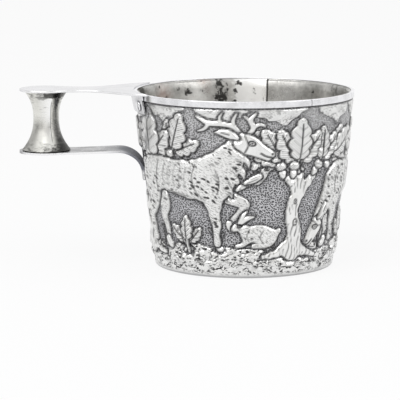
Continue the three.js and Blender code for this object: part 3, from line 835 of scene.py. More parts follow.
def add_acorn(frieze, at, up, turn):
    """An acorn in its hatched cup."""
    found, (x, y) = frieze.near(at, up, 1, 9, 1.0, turn)
    nut = to_stroke(x, y, [(0, 0, 1.8), (2.6, 0, 1.7), (4.2, 0, 0.8)])
    cap = to_stroke(x, y, [(-1.2, -0.7, 1.8), (-1.2, 0.7, 1.8)])
    frieze.lay(found, nut, 1.6, edge=1.3, crown=3)
    frieze.lay(found, cap, 1.8, edge=1.0, crown=3, moat=0.6)
    frieze.cut(found, np.where(cap < -0.2, np.abs((x + y) % 1.2 - 0.6), 9), 0.15, 0.5, 0.25)


def add_tuft(frieze, at, foot, seed):
    """Grass blades that lean out from one root."""
    draw = np.random.default_rng(seed)
    found, (x, y) = frieze.near(at, foot, 1, 16)
    for lean in draw.permutation([-0.8, -0.42, -0.08, 0.3, 0.7]):
        tall = 9.0 * draw.uniform(0.75, 1.1)
        blade = [(lean, -1, 0.8), (1.6 * lean, tall * 0.5, 0.9), (tall * lean * 0.6, tall, 0.25)]
        frieze.lay(found, to_stroke(x, y, blade), 1.1, edge=0.8, crown=2.5, moat=0.85)


TRUNK = [[(0, -3, 5), (1, 6, 4), (-1, 16, 3.4), (1.5, 27, 3), (1, 38, 2.5)],
         [(1, 22, 2.4), (8, 31, 2), (15, 38, 1.5), (21, 42, 1.1)],
         [(0, 28, 2.2), (-7, 36, 1.7), (-13, 42, 1.2)],
         [(-3, -1, 3), (-9, -4, 2), (-15, -5.5, 1)], [(4, -2, 2.8), (10, -5, 1.8), (15, -6, 1)]]
CROWN = [(-13, 42, 150, 3, 17), (21, 41, 24, 3, 18), (14, 38, 66, 2, 19), (-6, 38, 116, 3, 19),
         (1, 38, 88, 3, 21)]


def add_tree(frieze, at, foot, sprays, seed, facing=1):
    """An oak with roots, ridged bark, two knots, and leaves and an acorn at each twig's end."""
    draw = np.random.default_rng(seed)
    found, (x, y) = frieze.near(at, foot, facing, 40)
    gap = to_strokes(x, y, TRUNK, 1.8) + 0.3 * ripple(frieze.places[found], 4, seed)
    frieze.lay(found, gap, 2.0, edge=1.8, crown=6)
    bark = np.abs((x * 0.9 + 0.5 * np.sin(y * 0.45 + 0.6 * x)) % 1.7 - 0.85)
    broken = 0.5 + 0.5 * ripple(frieze.places[found], 5, seed + 1)
    frieze.cut(found, np.where(gap < -0.5, bark + 0.9 * (broken < 0.35), 9), 0.2, 0.6, 0.28)
    for kx, ky, size in ((0.5, 11, 1.1), (0, 21, 0.8)):
        knot = np.hypot(x - kx, 0.7 * (y - ky))
        frieze.cut(found, np.abs(knot - size), 0.25, 0.8, 0.28)
        frieze.cut(found, knot, 0.25, 0.8, 0.3)
    for dx, up, turn, count, length in sprays:
        turn = turn if facing > 0 else 180 - turn
        place = at + facing * dx
        add_spray(frieze, place, foot + up, turn, count, 36.0 * (count - 1), length,
                  draw.integers(99))
        add_acorn(frieze, place + draw.uniform(-3, 3), foot + up - 1, -90 + draw.uniform(-40, 40))


def add_rocks(frieze, seed):
    """A bank of worn stones all round the foot, low in front of the figures' feet."""
    draw = np.random.default_rng(seed)
    count = 130
    spots = np.stack([draw.uniform(-FLAT_LENGTH / 2, FLAT_LENGTH / 2, count),
                      draw.uniform(5.5, 16, count)], 1)
    size = draw.uniform(0.8, 1.4, count)
    found = np.flatnonzero((frieze.up > 4) & (frieze.up < 21))
    x, y = frieze.along[found], frieze.up[found]
    places = frieze.places[found]
    bent_x = x + 1.3 * ripple(places, 7, seed)
    bent_y = y + 0.8 * ripple(places, 6, seed + 1)
    first = np.full(len(found), 99.0)
    second = first.copy()
    for (sx, sy), big in zip(spots, size):
        dx = wrapped(bent_x - sx)
        gap = np.hypot(dx * 0.6, bent_y - sy) / big
        second = np.minimum(second, np.maximum(first, gap))
        first = np.minimum(first, gap)
    crest = 15.4 + 1.4 * ripple(places, 34, seed + 2) + 0.6 * ripple(places, 7, seed + 3)
    gap = np.maximum(y - crest, 5.4 + 0.7 * ripple(places, 9, seed + 4) - y)
    frieze.lay(found, gap, 1.1, edge=1.2, moat=0.6)
    frieze.groove[found] *= smooth(6, 10, y)
    frieze.rock[found] = np.maximum(smooth(0, 0.5, -gap), 1 - smooth(6, 8, y))
    stone = smooth(0.05, 1.0, second - first)
    frieze.height[found] = np.where(gap < 0, frieze.height[found] * (0.45 + 0.8 * stone),
                                    frieze.height[found])
    crack = np.exp(-((second - first) / 0.22) ** 2) * (gap < 0)
    crack *= smooth(-0.9, 0.2, ripple(places, 5, seed + 5))
    frieze.groove[found] = np.maximum(frieze.groove[found], 0.85 * crack)


def add_overhang(frieze, seed):
    """Low crags that hang from the band, as a border over the figures."""
    draw = np.random.default_rng(seed)
    found = np.flatnonzero(frieze.up > 60)
    ragged = 0.9 * ripple(frieze.places[found], 5, seed) + 0.4 * ripple(frieze.places[found], 2, 3)
    for at in np.linspace(-FLAT_LENGTH / 2, FLAT_LENGTH / 2, 12)[:-1] + 4:
        x = wrapped(frieze.along[found] - at - draw.uniform(-4, 4))
        y = frieze.up[found] - 81
        deep = draw.uniform(5.5, 11)
        lump = [[(-8, 2, 5), (-1, 0.8 - 0.3 * deep, 5), (1, 2 - 0.8 * deep, 3.6)],
                [(2, 1 - 0.35 * deep, 4.6), (9, 3, 5)]]
        gap = to_strokes(x, y, lump, 2) + ragged
        frieze.lay(found, gap, 0.8, edge=1.0, moat=0.4, crown=12)
        frieze.rock[found] = np.maximum(frieze.rock[found], 0.45 * smooth(0, 0.5, -gap))


def work_frieze(along, up):
    """Deer, hares and a bird among oaks on stony ground, all round the cup."""
    frieze = Frieze(along, up)
    frieze.plain = 1 - smooth(6.6, 7.4, up)
    frieze.rock = smooth(1, 3, up) * (1 - smooth(7, 8, up))
    add_overhang(frieze, 8)
    add_rocks(frieze, 5)
    for seed, at in enumerate((-84, -46, -14, 12, 43, 80, 116, 131)):
        add_tuft(frieze, at, 15, seed)
    add_tree(frieze, -62, 16, [(-4, 38, 112, 3, 18), (25, 43, 62, 3, 17), (9, 37, 84, 3, 23)], 7)
    add_tree(frieze, 24, 16, CROWN, 2)
    add_tree(frieze, 100, 16, CROWN, 3, facing=-1)
    add_tree(frieze, -112, 16, CROWN, 4)
    add_spray(frieze, -31, 15, 90, 3, 90, 12, 6)
    add_spray(frieze, 66, 15, 90, 3, 90, 12, 9)
    add_deer(frieze, -30, 13, 1, FORWARD_HEAD, FAR_LEGS, True)
    add_deer(frieze, 66, 13, -1, LOWERED_HEAD, STANDING_LEGS, False, 2.2, 1.1)
    add_deer(frieze, 145, 13, -1, FORWARD_HEAD, FAR_LEGS, True, 2.2, 1.1)
    add_small_beast(frieze, 5, 15, -1, HARE, HARE_EARS, HARE_FOLDS, 1.7, 0.95)
    add_small_beast(frieze, -92, 15, -1, HARE, HARE_EARS, HARE_FOLDS, 1.7, 0.9)
    add_small_beast(frieze, 5, 48, 1, BIRD, WING, WING_FOLDS, 1.5, 0.95, 15)
    # Painted shade and dirt: a dark line on the wall just under the band
    under_band = smooth(81, 82, up)
    frieze.groove = np.maximum(frieze.groove, 0.95 * under_band)
    return frieze


def relief_room(along, up, lift):
    """How far the relief may stand out: clear of the rim's width, the flange and the tail."""
    radius = (BASE_RADIUS + WALL_SLOPE * up * MM) / MM
    room = np.minimum(53.35 - radius, lift)
    handle = wrapped(along + FLAT_LENGTH / 4)
    flange = (1 - smooth(24.5, 27, np.abs(handle))) * smooth(73.5, 75.5, up)
    beside_tail = np.hypot(np.maximum(np.abs(handle) - 8.5, 0), np.maximum(np.abs(up - 48) - 6, 0))
    tail = 1 - smooth(3, 6.5, beside_tail)
    band = smooth(80.6, 81.8, up)
    foot = 1 - smooth(2, 4, up)
    keep = (1 - flange) * (1 - tail) * (1 - band) * (1 - foot)
    return np.maximum(room * keep, 1e-4)


# Operators, one for each piece or group of like pieces

class AddChasedWall(bpy.types.Operator):
    """Add the outer wall with its chased frieze"""
    bl_idname = "silver_cup.chased_wall"
    bl_label = "Chased Wall"

    def execute(self, context):
        sizes, colours = context.scene.silver_cup_sizes, context.scene.silver_cup_colours
        sheet, corner, top = sizes.sheet, BASE_CORNER, FRIEZE_TOP
        section = [(0, 0), (12 * MM, 0), (24 * MM, 0), (34 * MM, 0), (BASE_RADIUS - corner, 0)]
        section += curve([(BASE_RADIUS - corner, 0), (BASE_RADIUS, 0),
                          (wall_radius(corner), corner)], 4)
        section += [(wall_radius(z), z) for z in np.linspace(corner, top, FRIEZE_ROWS + 1)[1:]]
        section += [(wall_radius(SHELL_TOP), SHELL_TOP), (wall_radius(SHELL_TOP) - sheet, SHELL_TOP)]
        inner = np.linspace(SHELL_TOP, corner + sheet, 9)[1:]
        section += [(wall_radius(z) - sheet, z) for z in inner]
        section += [(BASE_RADIUS - corner, sheet), (20 * MM, sheet), (0, sheet)]
        bm = turned(section, WALL_STEPS, closed=False)
        piece = make_piece(bm, "chased_wall", chased_silver(colours), "shell_silver",
                           "outer_shell", even=False)
        mesh = piece.data
        places = vertex_places(mesh)
        radius = np.hypot(places[:, 0], places[:, 1])
        outer = ((radius > wall_radius(places[:, 2]) - 0.1 * MM) & (places[:, 2] > corner * 0.99)
                 & (places[:, 2] < top + 0.1 * MM))
        along = np.arctan2(places[:, 0], -places[:, 1]) * FLAT_RADIUS
        up = places[:, 2] / MM
        frieze = work_frieze(along[outer], up[outer])
        room = relief_room(along[outer], up[outer], sizes.relief / MM)
        height = frieze.height
        lifted = np.where(height > 0, height / (1 + (np.maximum(height, 0) / room) ** 3) ** (1 / 3),
                          height * (room > 0.3))
        radius_now = radius[outer] + lifted * MM
        share = radius_now / radius[outer]
        places[outer, 0] *= share
        places[outer, 1] *= share
        mesh.vertices.foreach_set("co", places.ravel())
        frieze.relief = lifted
        frieze.gloom *= smooth(0.02, 0.5, room)
        for name in FRIEZE_MASKS:
            spread = np.full(len(places), float(name == "plain"))
            spread[outer] = getattr(frieze, name)
            store(mesh, name, spread)
        lay_flat(mesh, along * MM, places[:, 2])
        mesh.update()
        return {"FINISHED"}


def lay_flat(mesh, along, up):
    """A UV map in metres, drawn out round the cup, with no stretched face at its join."""
    corners = np.empty(len(mesh.loops), int)
    mesh.loops.foreach_get("vertex_index", corners)
    starts = np.empty(len(mesh.polygons), int)
    mesh.polygons.foreach_get("loop_start", starts)
    totals = np.empty(len(mesh.polygons), int)
    mesh.polygons.foreach_get("loop_total", totals)
    across = along[corners]
    first = np.repeat(across[starts], totals)
    across = first + wrapped(across - first, FLAT_LENGTH * MM)
    spread = np.stack([across, up[corners]], 1)
    mesh.uv_layers.new(name="sheet").data.foreach_set("uv", spread.ravel())


def chased_silver(colours):
    """Polished relief on a darkened, punched ground, with dark chased lines and fur.

    A grey line of painted shadow runs along the base where it meets the floor.
    """
    finish = Finish("chased silver")
    flat = finish.place(uv="sheet")
    relief, groove, gloom, coat, leaf, vein, rock, plain = (
        finish.attribute(name) for name in FRIEZE_MASKS)

    cloud = finish.noise(flat, 150, 4, 0.6)
    grain = finish.noise(flat, 1700, 2, 0.6)
    sway = finish.warp(flat, 260, 0.9 * MM)

    punch = finish.cells(finish.warp(flat, 500, 0.12 * MM), 1150, dimensions="2D", randomness=0.8)
    pit = finish.ramp(punch.outputs["Distance"], 0.44, 0.3)
    ground = finish.mix(pit, shaded(colours.ground, 2.2), shaded(colours.ground, 0.3))
    high = finish.apart(flat)["Y"]
    # Painted shadow: a grey line along the base's lower corner, where it meets the floor
    contact_shade = finish.times(finish.ramp(high, 0.05 * MM, 0.25 * MM),
                             finish.ramp(high, 1.5 * MM, 0.8 * MM, 0, 0.75))
    ground = finish.mix(finish.ramp(high, 50 * MM, 80 * MM, 0, 0.3), ground, shaded(colours.raised))
    ground = finish.mix(finish.ramp(cloud, 0.35, 0.68, 0.2, 0), ground, shaded(colours.groove))
    ground = finish.mix(finish.times(gloom, 0.55), ground, shaded(colours.groove))

    worn = finish.ramp(finish.plus(cloud, finish.times(grain, 0.7)), 0.62, 1.0)
    raised = finish.mix(worn, shaded(colours.raised, 0.86), shaded(colours.raised))
    low = finish.times(finish.ramp(relief, 1.3, 0.35, 0, 0.2),
                       finish.ramp(rock, 0, 1, 1, 0.1))
    raised = finish.mix(low, raised, shaded(colours.ground))

    hair = finish.noise(finish.stretch(sway, 1, 0.3, -0.4), 620, 3, 0.6)
    hair = finish.ramp(hair, 0.5, 0.38)
    marks = []
    for turn, wide, seed in ((-0.25, 1.9, 0.0), (-0.75, 2.2, 0.013)):
        cell = finish.cells(finish.stretch(sway, wide, 1, turn, seed), 500)
        chosen = finish.ramp(cell.outputs["Color"], 0.44, 0.48)
        marks.append(finish.times(finish.ramp(cell.outputs["Distance"], 0.38, 0.24),
                                  chosen))
    patch = finish.ramp(finish.noise(flat, 85, 2, 0.5), 0.38, 0.52, 0.45, 1)
    fleck = finish.times(finish.most(*marks), patch)
    fur = finish.most(finish.times(hair, 0.6), finish.times(fleck, 0.95))
    fur = finish.times(fur, coat)

    swirl = finish.noise(finish.stretch(finish.warp(flat, 170, 2.4 * MM), 2.6, 1, 0.1), 200, 3, 0.6)
    seam = finish.ramp(finish.math("PINGPONG", swirl, 0.05), 0.029, 0.016)
    broken = finish.ramp(finish.noise(finish.stretch(flat, 2, 1), 360, 3, 0.6), 0.46, 0.52)
    cleft = finish.times(finish.times(finish.times(seam, broken), rock), 0.97)
    stone = finish.noise(finish.stretch(flat, 1.6, 1, 0.15), 330, 2, 0.5)

    line = finish.math("PINGPONG", vein, HATCH_STEP)
    hatch = finish.times(finish.times(finish.ramp(line, 0.2, 0.06), leaf), 0.5)

    marked = finish.most(finish.most(fur, cleft), hatch)
    hollow = finish.times(finish.ramp(stone, 0.46, 0.36, 0, 0.4), rock)
    raised = finish.mix(hollow, raised, shaded(colours.ground))
    raised = finish.mix(marked, raised, shaded(colours.groove))
    up = finish.most(finish.ramp(relief, 0.12, 0.4, smooth=True), plain)
    colour = finish.mix(up, ground, raised)
    dark = finish.ramp(finish.plus(groove, finish.times(finish.math("SUBTRACT", cloud, 0.5), 0.5)),
                       0.05, 0.7)
    dark = finish.times(dark, finish.ramp(groove, 0, 0.15))
    dark = finish.times(dark, finish.most(up, finish.ramp(pit, 0, 1, 0.75, 1)))
    colour = finish.mix(finish.times(dark, 0.95), colour, shaded(colours.groove))
    # The painted shadow along the base
    colour = finish.mix(contact_shade, colour, shaded(colours.ground))
    rough = finish.ramp(up, 0, 1, 0.5, 0.28)
    dents = finish.times(finish.times(finish.math("SUBTRACT", 1.0, up), pit), -1.0)
    normal = finish.bump(dents, 0.1 * MM)
    normal = finish.bump(finish.times(marked, -1.0), 0.1 * MM, normal)
    normal = finish.bump(finish.times(stone, rock), 1.3 * MM, normal)
    normal = finish.bump(finish.times(grain, up), 0.03 * MM, normal)
    normal = finish.bump(finish.times(finish.noise(flat, 420, 2), up), 0.08 * MM, normal)
    return finish.finish(colour, rough, normal)


class AddLiner(bpy.types.Operator):
    """Add the smooth liner that shows inside the cup"""
    bl_idname = "silver_cup.liner"
    bl_label = "Liner"

    def execute(self, context):
        sizes, colours = context.scene.silver_cup_sizes, context.scene.silver_cup_colours
        sheet, shell = sizes.liner, sizes.sheet
        floor, corner = shell + SEAT_GAP, LINER_CORNER
        flare_top = SHELL_TOP - 0.1 * MM
        flare_foot = flare_top - 0.8 * MM
        middle = (flare_top + flare_foot) / 2

        def body(z):
            return wall_radius(z) - shell - LINER_GAP

        def wide(z):
            return wall_radius(z) - shell - 0.1 * MM

        def side(inset, bottom):
            points = [(0, bottom), (body(floor) - corner, bottom)]
            points += curve([(body(floor) - corner, bottom), (body(floor) - inset, bottom),
                             (body(floor + corner) - inset, floor + corner)], 10)
            points += [(body(z) - inset, z) for z in np.linspace(floor + corner, flare_foot, 24)[1:]]
            flare = [(body(flare_foot), flare_foot), (body(middle), middle),
                     (wide(middle), middle), (wide(flare_top), flare_top)]
            points += [(r - inset, z) for r, z in curve(flare, 8)]
            return points + [(wide(SHELL_TOP) - inset, SHELL_TOP)]

        section = side(0, floor) + side(sheet, floor + sheet)[::-1]
        bm = turned(section, LINER_STEPS, closed=False)
        piece = make_piece(bm, "liner", liner_silver(colours), "liner_silver", "inner_liner",
                           even=False)
        dent_inside(piece.data, flare_foot)
        return {"FINISHED"}


def dent_inside(mesh, top):
    """Shallow planishing waves in the liner, which die out below the rim and at the floor."""
    places = vertex_places(mesh)
    angle = np.arctan2(places[:, 1], places[:, 0])
    z = places[:, 2]
    draw = np.random.default_rng(11)
    wave = np.zeros(len(z))
    for _ in range(14):
        turns, rise, phase = draw.integers(3, 15), draw.uniform(-90, 90), draw.uniform(0, TURN)
        wave += np.sin(turns * angle + rise * z + phase) / 14
    keep = smooth(8 * MM, 20 * MM, z) * (1 - smooth(top - 6 * MM, top, z))
    share = 1 + 0.35 * MM * wave * keep / np.maximum(np.hypot(places[:, 0], places[:, 1]), MM)
    places[:, 0] *= share
    places[:, 1] *= share
    mesh.vertices.foreach_set("co", places.ravel())


def liner_silver(colours):
    """Handled silver inside the cup, with stains, a pinkish bloom and a soldered lap at the back.

    A bright strip beside the lap is a painted reflection, and high on the sides is painted shade.
    """
    finish = Finish("liner silver")
    where = finish.place()
    apart = finish.apart(where)
    cloud = finish.noise(where, 75, 5, 0.65)
    mottle = finish.noise(where, 420, 4, 0.65)
    rings = finish.noise(finish.place(scale=(0.15, 0.15, 3)), 420, 3)
    tone = finish.plus(cloud, finish.times(mottle, 0.5))
    base = finish.mix(finish.ramp(tone, 0.58, 0.9), shaded(colours.liner, 0.5),
                      shaded(colours.liner, 0.82))

    angle = finish.math("ARCTAN2", apart["X"], apart["Y"])
    left = finish.math("MULTIPLY_ADD", finish.math("SUBTRACT", mottle, 0.5), 0.16, angle)
    # Painted reflection: a bright strip on the back of the liner beside the lap, from about halfway up
    reflected_strip = finish.times(finish.ramp(left, LAP_ANGLE - LAP_REFLECTION_WIDTH,
                                       LAP_ANGLE - LAP_REFLECTION_WIDTH + 0.05),
                           finish.math("LESS_THAN", angle, LAP_ANGLE))
    reflected_strip = finish.times(reflected_strip, finish.ramp(apart["Z"], 40 * MM, 60 * MM))
    clear = finish.mix(finish.ramp(cloud, 0.35, 0.65), (0.82, 0.815, 0.8), (0.95, 0.95, 0.94))
    colour = finish.mix(reflected_strip, base, clear)

    bloom = finish.most(finish.ramp(finish.noise(where, 24, 3, 0.5), 0.62, 0.75),
                        finish.spot(where, LINER_BLOOM, 9 * MM, 6 * MM))
    bloom = finish.times(bloom, finish.ramp(mottle, 0.35, 0.6, 0.8, 0.35))
    colour = finish.mix(bloom, colour, (0.42, 0.28, 0.24))
    # Painted shade: dark patches high inside, where the liner is also made hardly metallic and rougher
    shade = 0.0
    for place, reach, strength in LINER_SHADES:
        cast = finish.times(finish.spot(where, place, reach, 8 * MM), strength)
        shade = finish.most(shade, cast)
    shade = finish.math("MULTIPLY", shade, finish.ramp(mottle, 0.4, 0.62, 1, 0.45), clamp=True)
    finish.feed(finish.shader, "Metallic", finish.ramp(shade, 0.4, 0.9, 1, 0))
    finish.feed(finish.shader, "Specular IOR Level", 0.2)
    colour = finish.mix(shade, colour, (0.07, 0.068, 0.06))

    stains = finish.ramp(finish.noise(where, 260, 3, 0.6), 0.64, 0.7)
    for place, reach in LINER_STAINS:
        blot = finish.ramp(finish.spot(where, place, reach, 7 * MM), 0.35, 0.6)
        stains = finish.most(stains, blot)
    flux = finish.math("ABSOLUTE", finish.plus(angle, FLUX_ANGLE))
    flux = finish.math("MULTIPLY_ADD", finish.noise(where, 360, 4, 0.75), 3.6,
                       finish.ramp(flux, 0.14, 0.01))
    flux = finish.plus(flux, finish.ramp(apart["Z"], 52 * MM, 68 * MM, -0.7, 0))
    stains = finish.most(stains, finish.ramp(flux, 2.5, 2.75))
    off = finish.math("ABSOLUTE", finish.math("SUBTRACT", angle, LAP_ANGLE))
    line = finish.times(finish.ramp(off, LAP_LINE, LAP_LINE * 0.4),
                        finish.ramp(apart["Z"], 4 * MM, 9 * MM))
    stains = finish.most(stains, line)
    colour = finish.mix(finish.times(stains, 0.94), colour, (0.03, 0.029, 0.027))
    rough = finish.plus(finish.ramp(cloud, 0.3, 0.75, 0.24, 0.4),
                        finish.ramp(shade, 0.4, 0.9, 0, 0.4))
    normal = finish.bump(rings, 0.006 * MM)
    normal = finish.bump(finish.times(line, -1.0), 0.15 * MM, normal)
    return finish.finish(colour, rough, normal)


class AddRimBand(bpy.types.Operator):
    """Add the strip that binds the rim, with its upright seam"""
    bl_idname = "silver_cup.rim_band"
    bl_label = "Rim Band"

    def execute(self, context):
        sizes, colours = context.scene.silver_cup_sizes, context.scene.silver_cup_colours
        sheet = sizes.band
        lip = RIM_RADIUS - RIM_LIP
        section = rounded([(RIM_RADIUS - sheet, BAND_FOOT), (RIM_RADIUS, BAND_FOOT),
                           (RIM_RADIUS, CUP_HEIGHT), (lip, CUP_HEIGHT),
                           (lip, CUP_HEIGHT - sheet), (RIM_RADIUS - sheet, CUP_HEIGHT - sheet)],
                          [0.08 * MM, 0.15 * MM, 0.3 * MM, 0.18 * MM, 0.12 * MM, 0])
        seam = BAND_SEAM_WIDTH / RIM_RADIUS
        bm = turned(section, BAND_STEPS, BAND_SEAM + seam / 2, TURN - seam)
        # The band carries painted shadows of the horn tips
        make_piece(bm, "rim_band_strip", polished_silver(
            "band silver", colours.polished, 1.0, 0.2, (1, 1, 5), 0.32, BAND_HORN_SHADOWS),
            "band_silver", "rim_band")
        return {"FINISHED"}


def disc_end(radius, waist, half_waist):
    """Half of a plate's outline, from its strap to the far side of its disc."""
    meet_x, meet_y = -SPOOL_AXIS + radius * math.cos(DISC_MEET), radius * math.sin(DISC_MEET)
    neck = meet_x + (meet_y - half_waist) * math.tan(DISC_MEET)
    points = curve([(waist, half_waist), (neck, half_waist), (meet_x, meet_y)], 10)
    turn = math.pi - DISC_MEET
    steps = 40
    for i in range(1, steps + 1):
        angle = DISC_MEET + turn * i / steps
        points.append(Vector((-SPOOL_AXIS + radius * math.cos(angle), radius * math.sin(angle))))
    return [Vector((waist, half_waist)), *points]


def mirrored(half):
    """A whole outline from its upper half, which ends on the middle line."""
    return half + [Vector((p.x, -p.y)) for p in reversed(half) if p.y > 1e-7]


class AddTopPlate(bpy.types.Operator):
    """Add the handle's upper plate with its horns and the flange under the rim"""
    bl_idname = "silver_cup.top_plate"
    bl_label = "Top Plate"

    def execute(self, context):
        colours = context.scene.silver_cup_colours
        rest = RIM_RADIUS + SEAT_GAP
        meet = RIM_RADIUS + 0.04 * MM
        horn, half = HORN_ANGLE, TOP_HALF_STRAP
        tip = Vector((-rest * math.cos(horn), rest * math.sin(horn)))
        edge = tip - HORN_LENGTH * Vector((math.cos(HORN_SPLAY), math.sin(HORN_SPLAY)))
        waist = -(RIM_RADIUS + TOP_WAIST_REACH)
        flare = (waist - rest) / 2
        upper = [tip, *curve([tip, edge, (flare, half), (waist, half)], 24)]
        upper += disc_end(TOP_DISC_RADIUS, waist, half)[1:]
        outline = mirrored(upper)
        arc = [horn - 2 * horn * i / 48 for i in range(1, 48)]
        outline += [Vector((-meet * math.cos(a), -meet * math.sin(a))) for a in arc]
        bm = bmesh.new()
        face = bm.faces.new([bm.verts.new((p.x, p.y, PLATE_TOP - PLATE)) for p in outline])
        raised = bmesh.ops.extrude_face_region(bm, geom=[face])["geom"]
        bmesh.ops.translate(bm, verts=[v for v in raised if isinstance(v, bmesh.types.BMVert)],
                            vec=(0, 0, PLATE))
        bmesh.ops.recalc_face_normals(bm, faces=bm.faces)
        rims = [e for e in bm.edges if abs(e.verts[0].co.z - e.verts[1].co.z) < 1e-7]
        bevel(bm, rims)
        # Painted reflection on the plate's sideways-facing edges; painted shade and dirt on the flange
        plate = make_piece(bm, "top_plate", polished_silver(
            "top plate silver", colours.polished, 0.82, 0.2, (6, 1, 1), 0.08, FLANGE_SHADE_AND_DIRT,
            edge_reflection=True),
            "handle_silver", "handle_top_plate", even=False)
        join_flange(plate, rest)
        plate.modifiers.new("even faces", "WEIGHTED_NORMAL")
        return {"FINISHED"}


def join_flange(plate, rest):
    """Makes the curved flange, and unites it with the plate that it hangs from."""
    foot_radius = wall_radius(FLANGE_FOOT) + FLANGE_FOOT_GAP
    outer = rest + PLATE
    under = PLATE_TOP - PLATE
    top = PLATE_TOP - 0.4 * MM
    fillet = FLANGE_FILLET
    inner = rest + 0.02 * MM
    section = [Vector(p) for p in ((inner, top), (inner, BAND_FOOT))]
    section += rounded([(inner, BAND_FOOT), (foot_radius, FLANGE_FOOT),
                        (foot_radius + PLATE, FLANGE_FOOT), (outer, BAND_FOOT)],
                       [0, PLATE_EDGE, PLATE_EDGE, 0])[1:]
    section += [Vector((outer, under - fillet))]
    section += curve([(outer, under - fillet), (outer, under), (outer + fillet, under)], 6)
    section += [Vector((outer + fillet, top))]
    bm = turned(section, FLANGE_STEPS, math.pi - FLANGE_ANGLE, 2 * FLANGE_ANGLE)
    caps = [f for f in bm.faces if len(f.verts) > 8]
    ends = [e for e in bm.edges if any(f in caps for f in e.link_faces)
            and max(v.co.z for v in e.verts) < under]
    bevel(bm, ends)
    flange = add_object(bm, "flange")
    flange.data.shade_smooth()
    joint = plate.modifiers.new("flange", "BOOLEAN")
    joint.operation, joint.solver, joint.object = "UNION", "EXACT", flange
    settle(plate)
    bpy.data.objects.remove(flange)


class AddLowerPlate(bpy.types.Operator):
    """Add the handle's lower plate, whose tail bends down onto the wall"""
    bl_idname = "silver_cup.lower_plate"
    bl_label = "Lower Plate"

    def execute(self, context):
        colours = context.scene.silver_cup_colours
        disc_radius, half_strap, half_tail = LOWER_DISC_RADIUS, LOWER_HALF_STRAP, HALF_TAIL
        climb, bend = STRAP_CLIMB, TAIL_BEND
        middle = SPOOL_FOOT - SEAT_GAP - PLATE / 2
        disc_inner = SPOOL_AXIS - disc_radius
        strap_at_axis = middle + math.tan(climb) * disc_inner - bend / math.cos(climb)
        offset = (bend + SEAT_GAP + PLATE / 2) / math.cos(WALL_TILT)
        bend_x = ((BASE_RADIUS + WALL_SLOPE * strap_at_axis + offset)
                  / (1 + WALL_SLOPE * math.tan(climb)))
        bend_z = strap_at_axis - math.tan(climb) * bend_x
        start, end = math.pi / 2 - climb, math.pi - WALL_TILT
        bend_start = bend_x + bend * math.cos(start)
        strap_end = disc_inner - (disc_inner - bend_start) / math.cos(climb)
        bend_end = strap_end - bend * (end - start)

        def fold(reach):
            """The sheet's middle line at a distance along it: (radius, height)."""
            if reach > disc_inner:
                return reach, middle
            if reach > strap_end:
                run = disc_inner - reach
                return disc_inner - run * math.cos(climb), middle + run * math.sin(climb)
            if reach > bend_end:
                angle = start + (strap_end - reach) / bend
                return bend_x + bend * math.cos(angle), bend_z + bend * math.sin(angle)
            run = bend_end - reach
            return (bend_x + bend * math.cos(end) - run * math.sin(WALL_TILT),
                    bend_z + bend * math.sin(end) - run * math.cos(WALL_TILT))

        def unfold(x, y):
            """Distance along the sheet of a point of the disc or strap seen from above."""
            reach = math.hypot(x, y)
            return reach if reach > disc_inner else disc_inner - (disc_inner - reach) / math.cos(climb)

        last = bend_end - TAIL_LANDING
        flare_start, flare_end = strap_end + 3 * MM, strap_end - 0.45 * (strap_end - bend_end)
        corner = 2 * MM
        half = [Vector((last, 0)), Vector((last, half_tail - corner))]
        half += curve([(last, half_tail - corner), (last, half_tail), (last + corner, half_tail)], 6)
        half += curve([(last + corner, half_tail), (flare_end, half_tail)], 6)
        flare_middle = (flare_start + flare_end) / 2
        half += curve([(flare_end, half_tail), (flare_middle, half_tail),
                       (flare_middle, half_strap), (flare_start, half_strap)], 16)
        plan = disc_end(disc_radius, -(SPOOL_AXIS - disc_radius - 4.5 * MM), half_strap)
        half += [Vector((unfold(p.x, p.y), p.y)) for p in plan]
        outline = mirrored(half)

        bm = bmesh.new()
        bm.faces.new([bm.verts.new((p.x, p.y, 0)) for p in outline])
        cuts = [(Vector((x, 0, 0)), Vector((1, 0, 0)))
                for x in [*np.arange(last + 0.4 * MM, strap_end + MM, 0.6 * MM),
                          *np.arange(strap_end + 2 * MM, SPOOL_AXIS + disc_radius, 2.2 * MM)]]
        cuts += [(Vector((0, y, 0)), Vector((0, 1, 0))) for y in np.arange(-12, 12.1, 2) * MM]
        for at, normal in cuts:
            bmesh.ops.bisect_plane(bm, geom=bm.verts[:] + bm.edges[:] + bm.faces[:], dist=1e-8,
                                   plane_co=at, plane_no=normal)
        for vert in bm.verts:
            radius, z = fold(vert.co.x)
            y = vert.co.y
            vert.co = Vector((-math.sqrt(max(radius ** 2 - y ** 2, 0)), y, z))
        bmesh.ops.recalc_face_normals(bm, faces=bm.faces)
        # Painted shade: the whole lower plate is painted at about a third of the polished tone, as it
        # mirrors the upper plate's dark underside, and darker still at its bend
        piece = make_piece(bm, "lower_plate", polished_silver(
            "lower plate silver", colours.polished, 0.36, 0.24, (6, 1, 1), 0.6, edge_reflection=True,
            painted_shade_end=((-50 * MM, 0, 46 * MM), 24.5 * MM, 45.5 * MM)),
            "handle_silver", "handle_lower_plate", even=False)
        thick = piece.modifiers.new("sheet", "SOLIDIFY")
        thick.thickness, thick.offset, thick.use_even_offset = PLATE, 0, True
        settle(piece)
        soften = piece.modifiers.new("edges", "BEVEL")
        soften.width, soften.segments, soften.limit_method = PLATE_EDGE, 3, "ANGLE"
        soften.angle_limit = math.radians(45)
        piece.modifiers.new("even faces", "WEIGHTED_NORMAL")
        return {"FINISHED"}


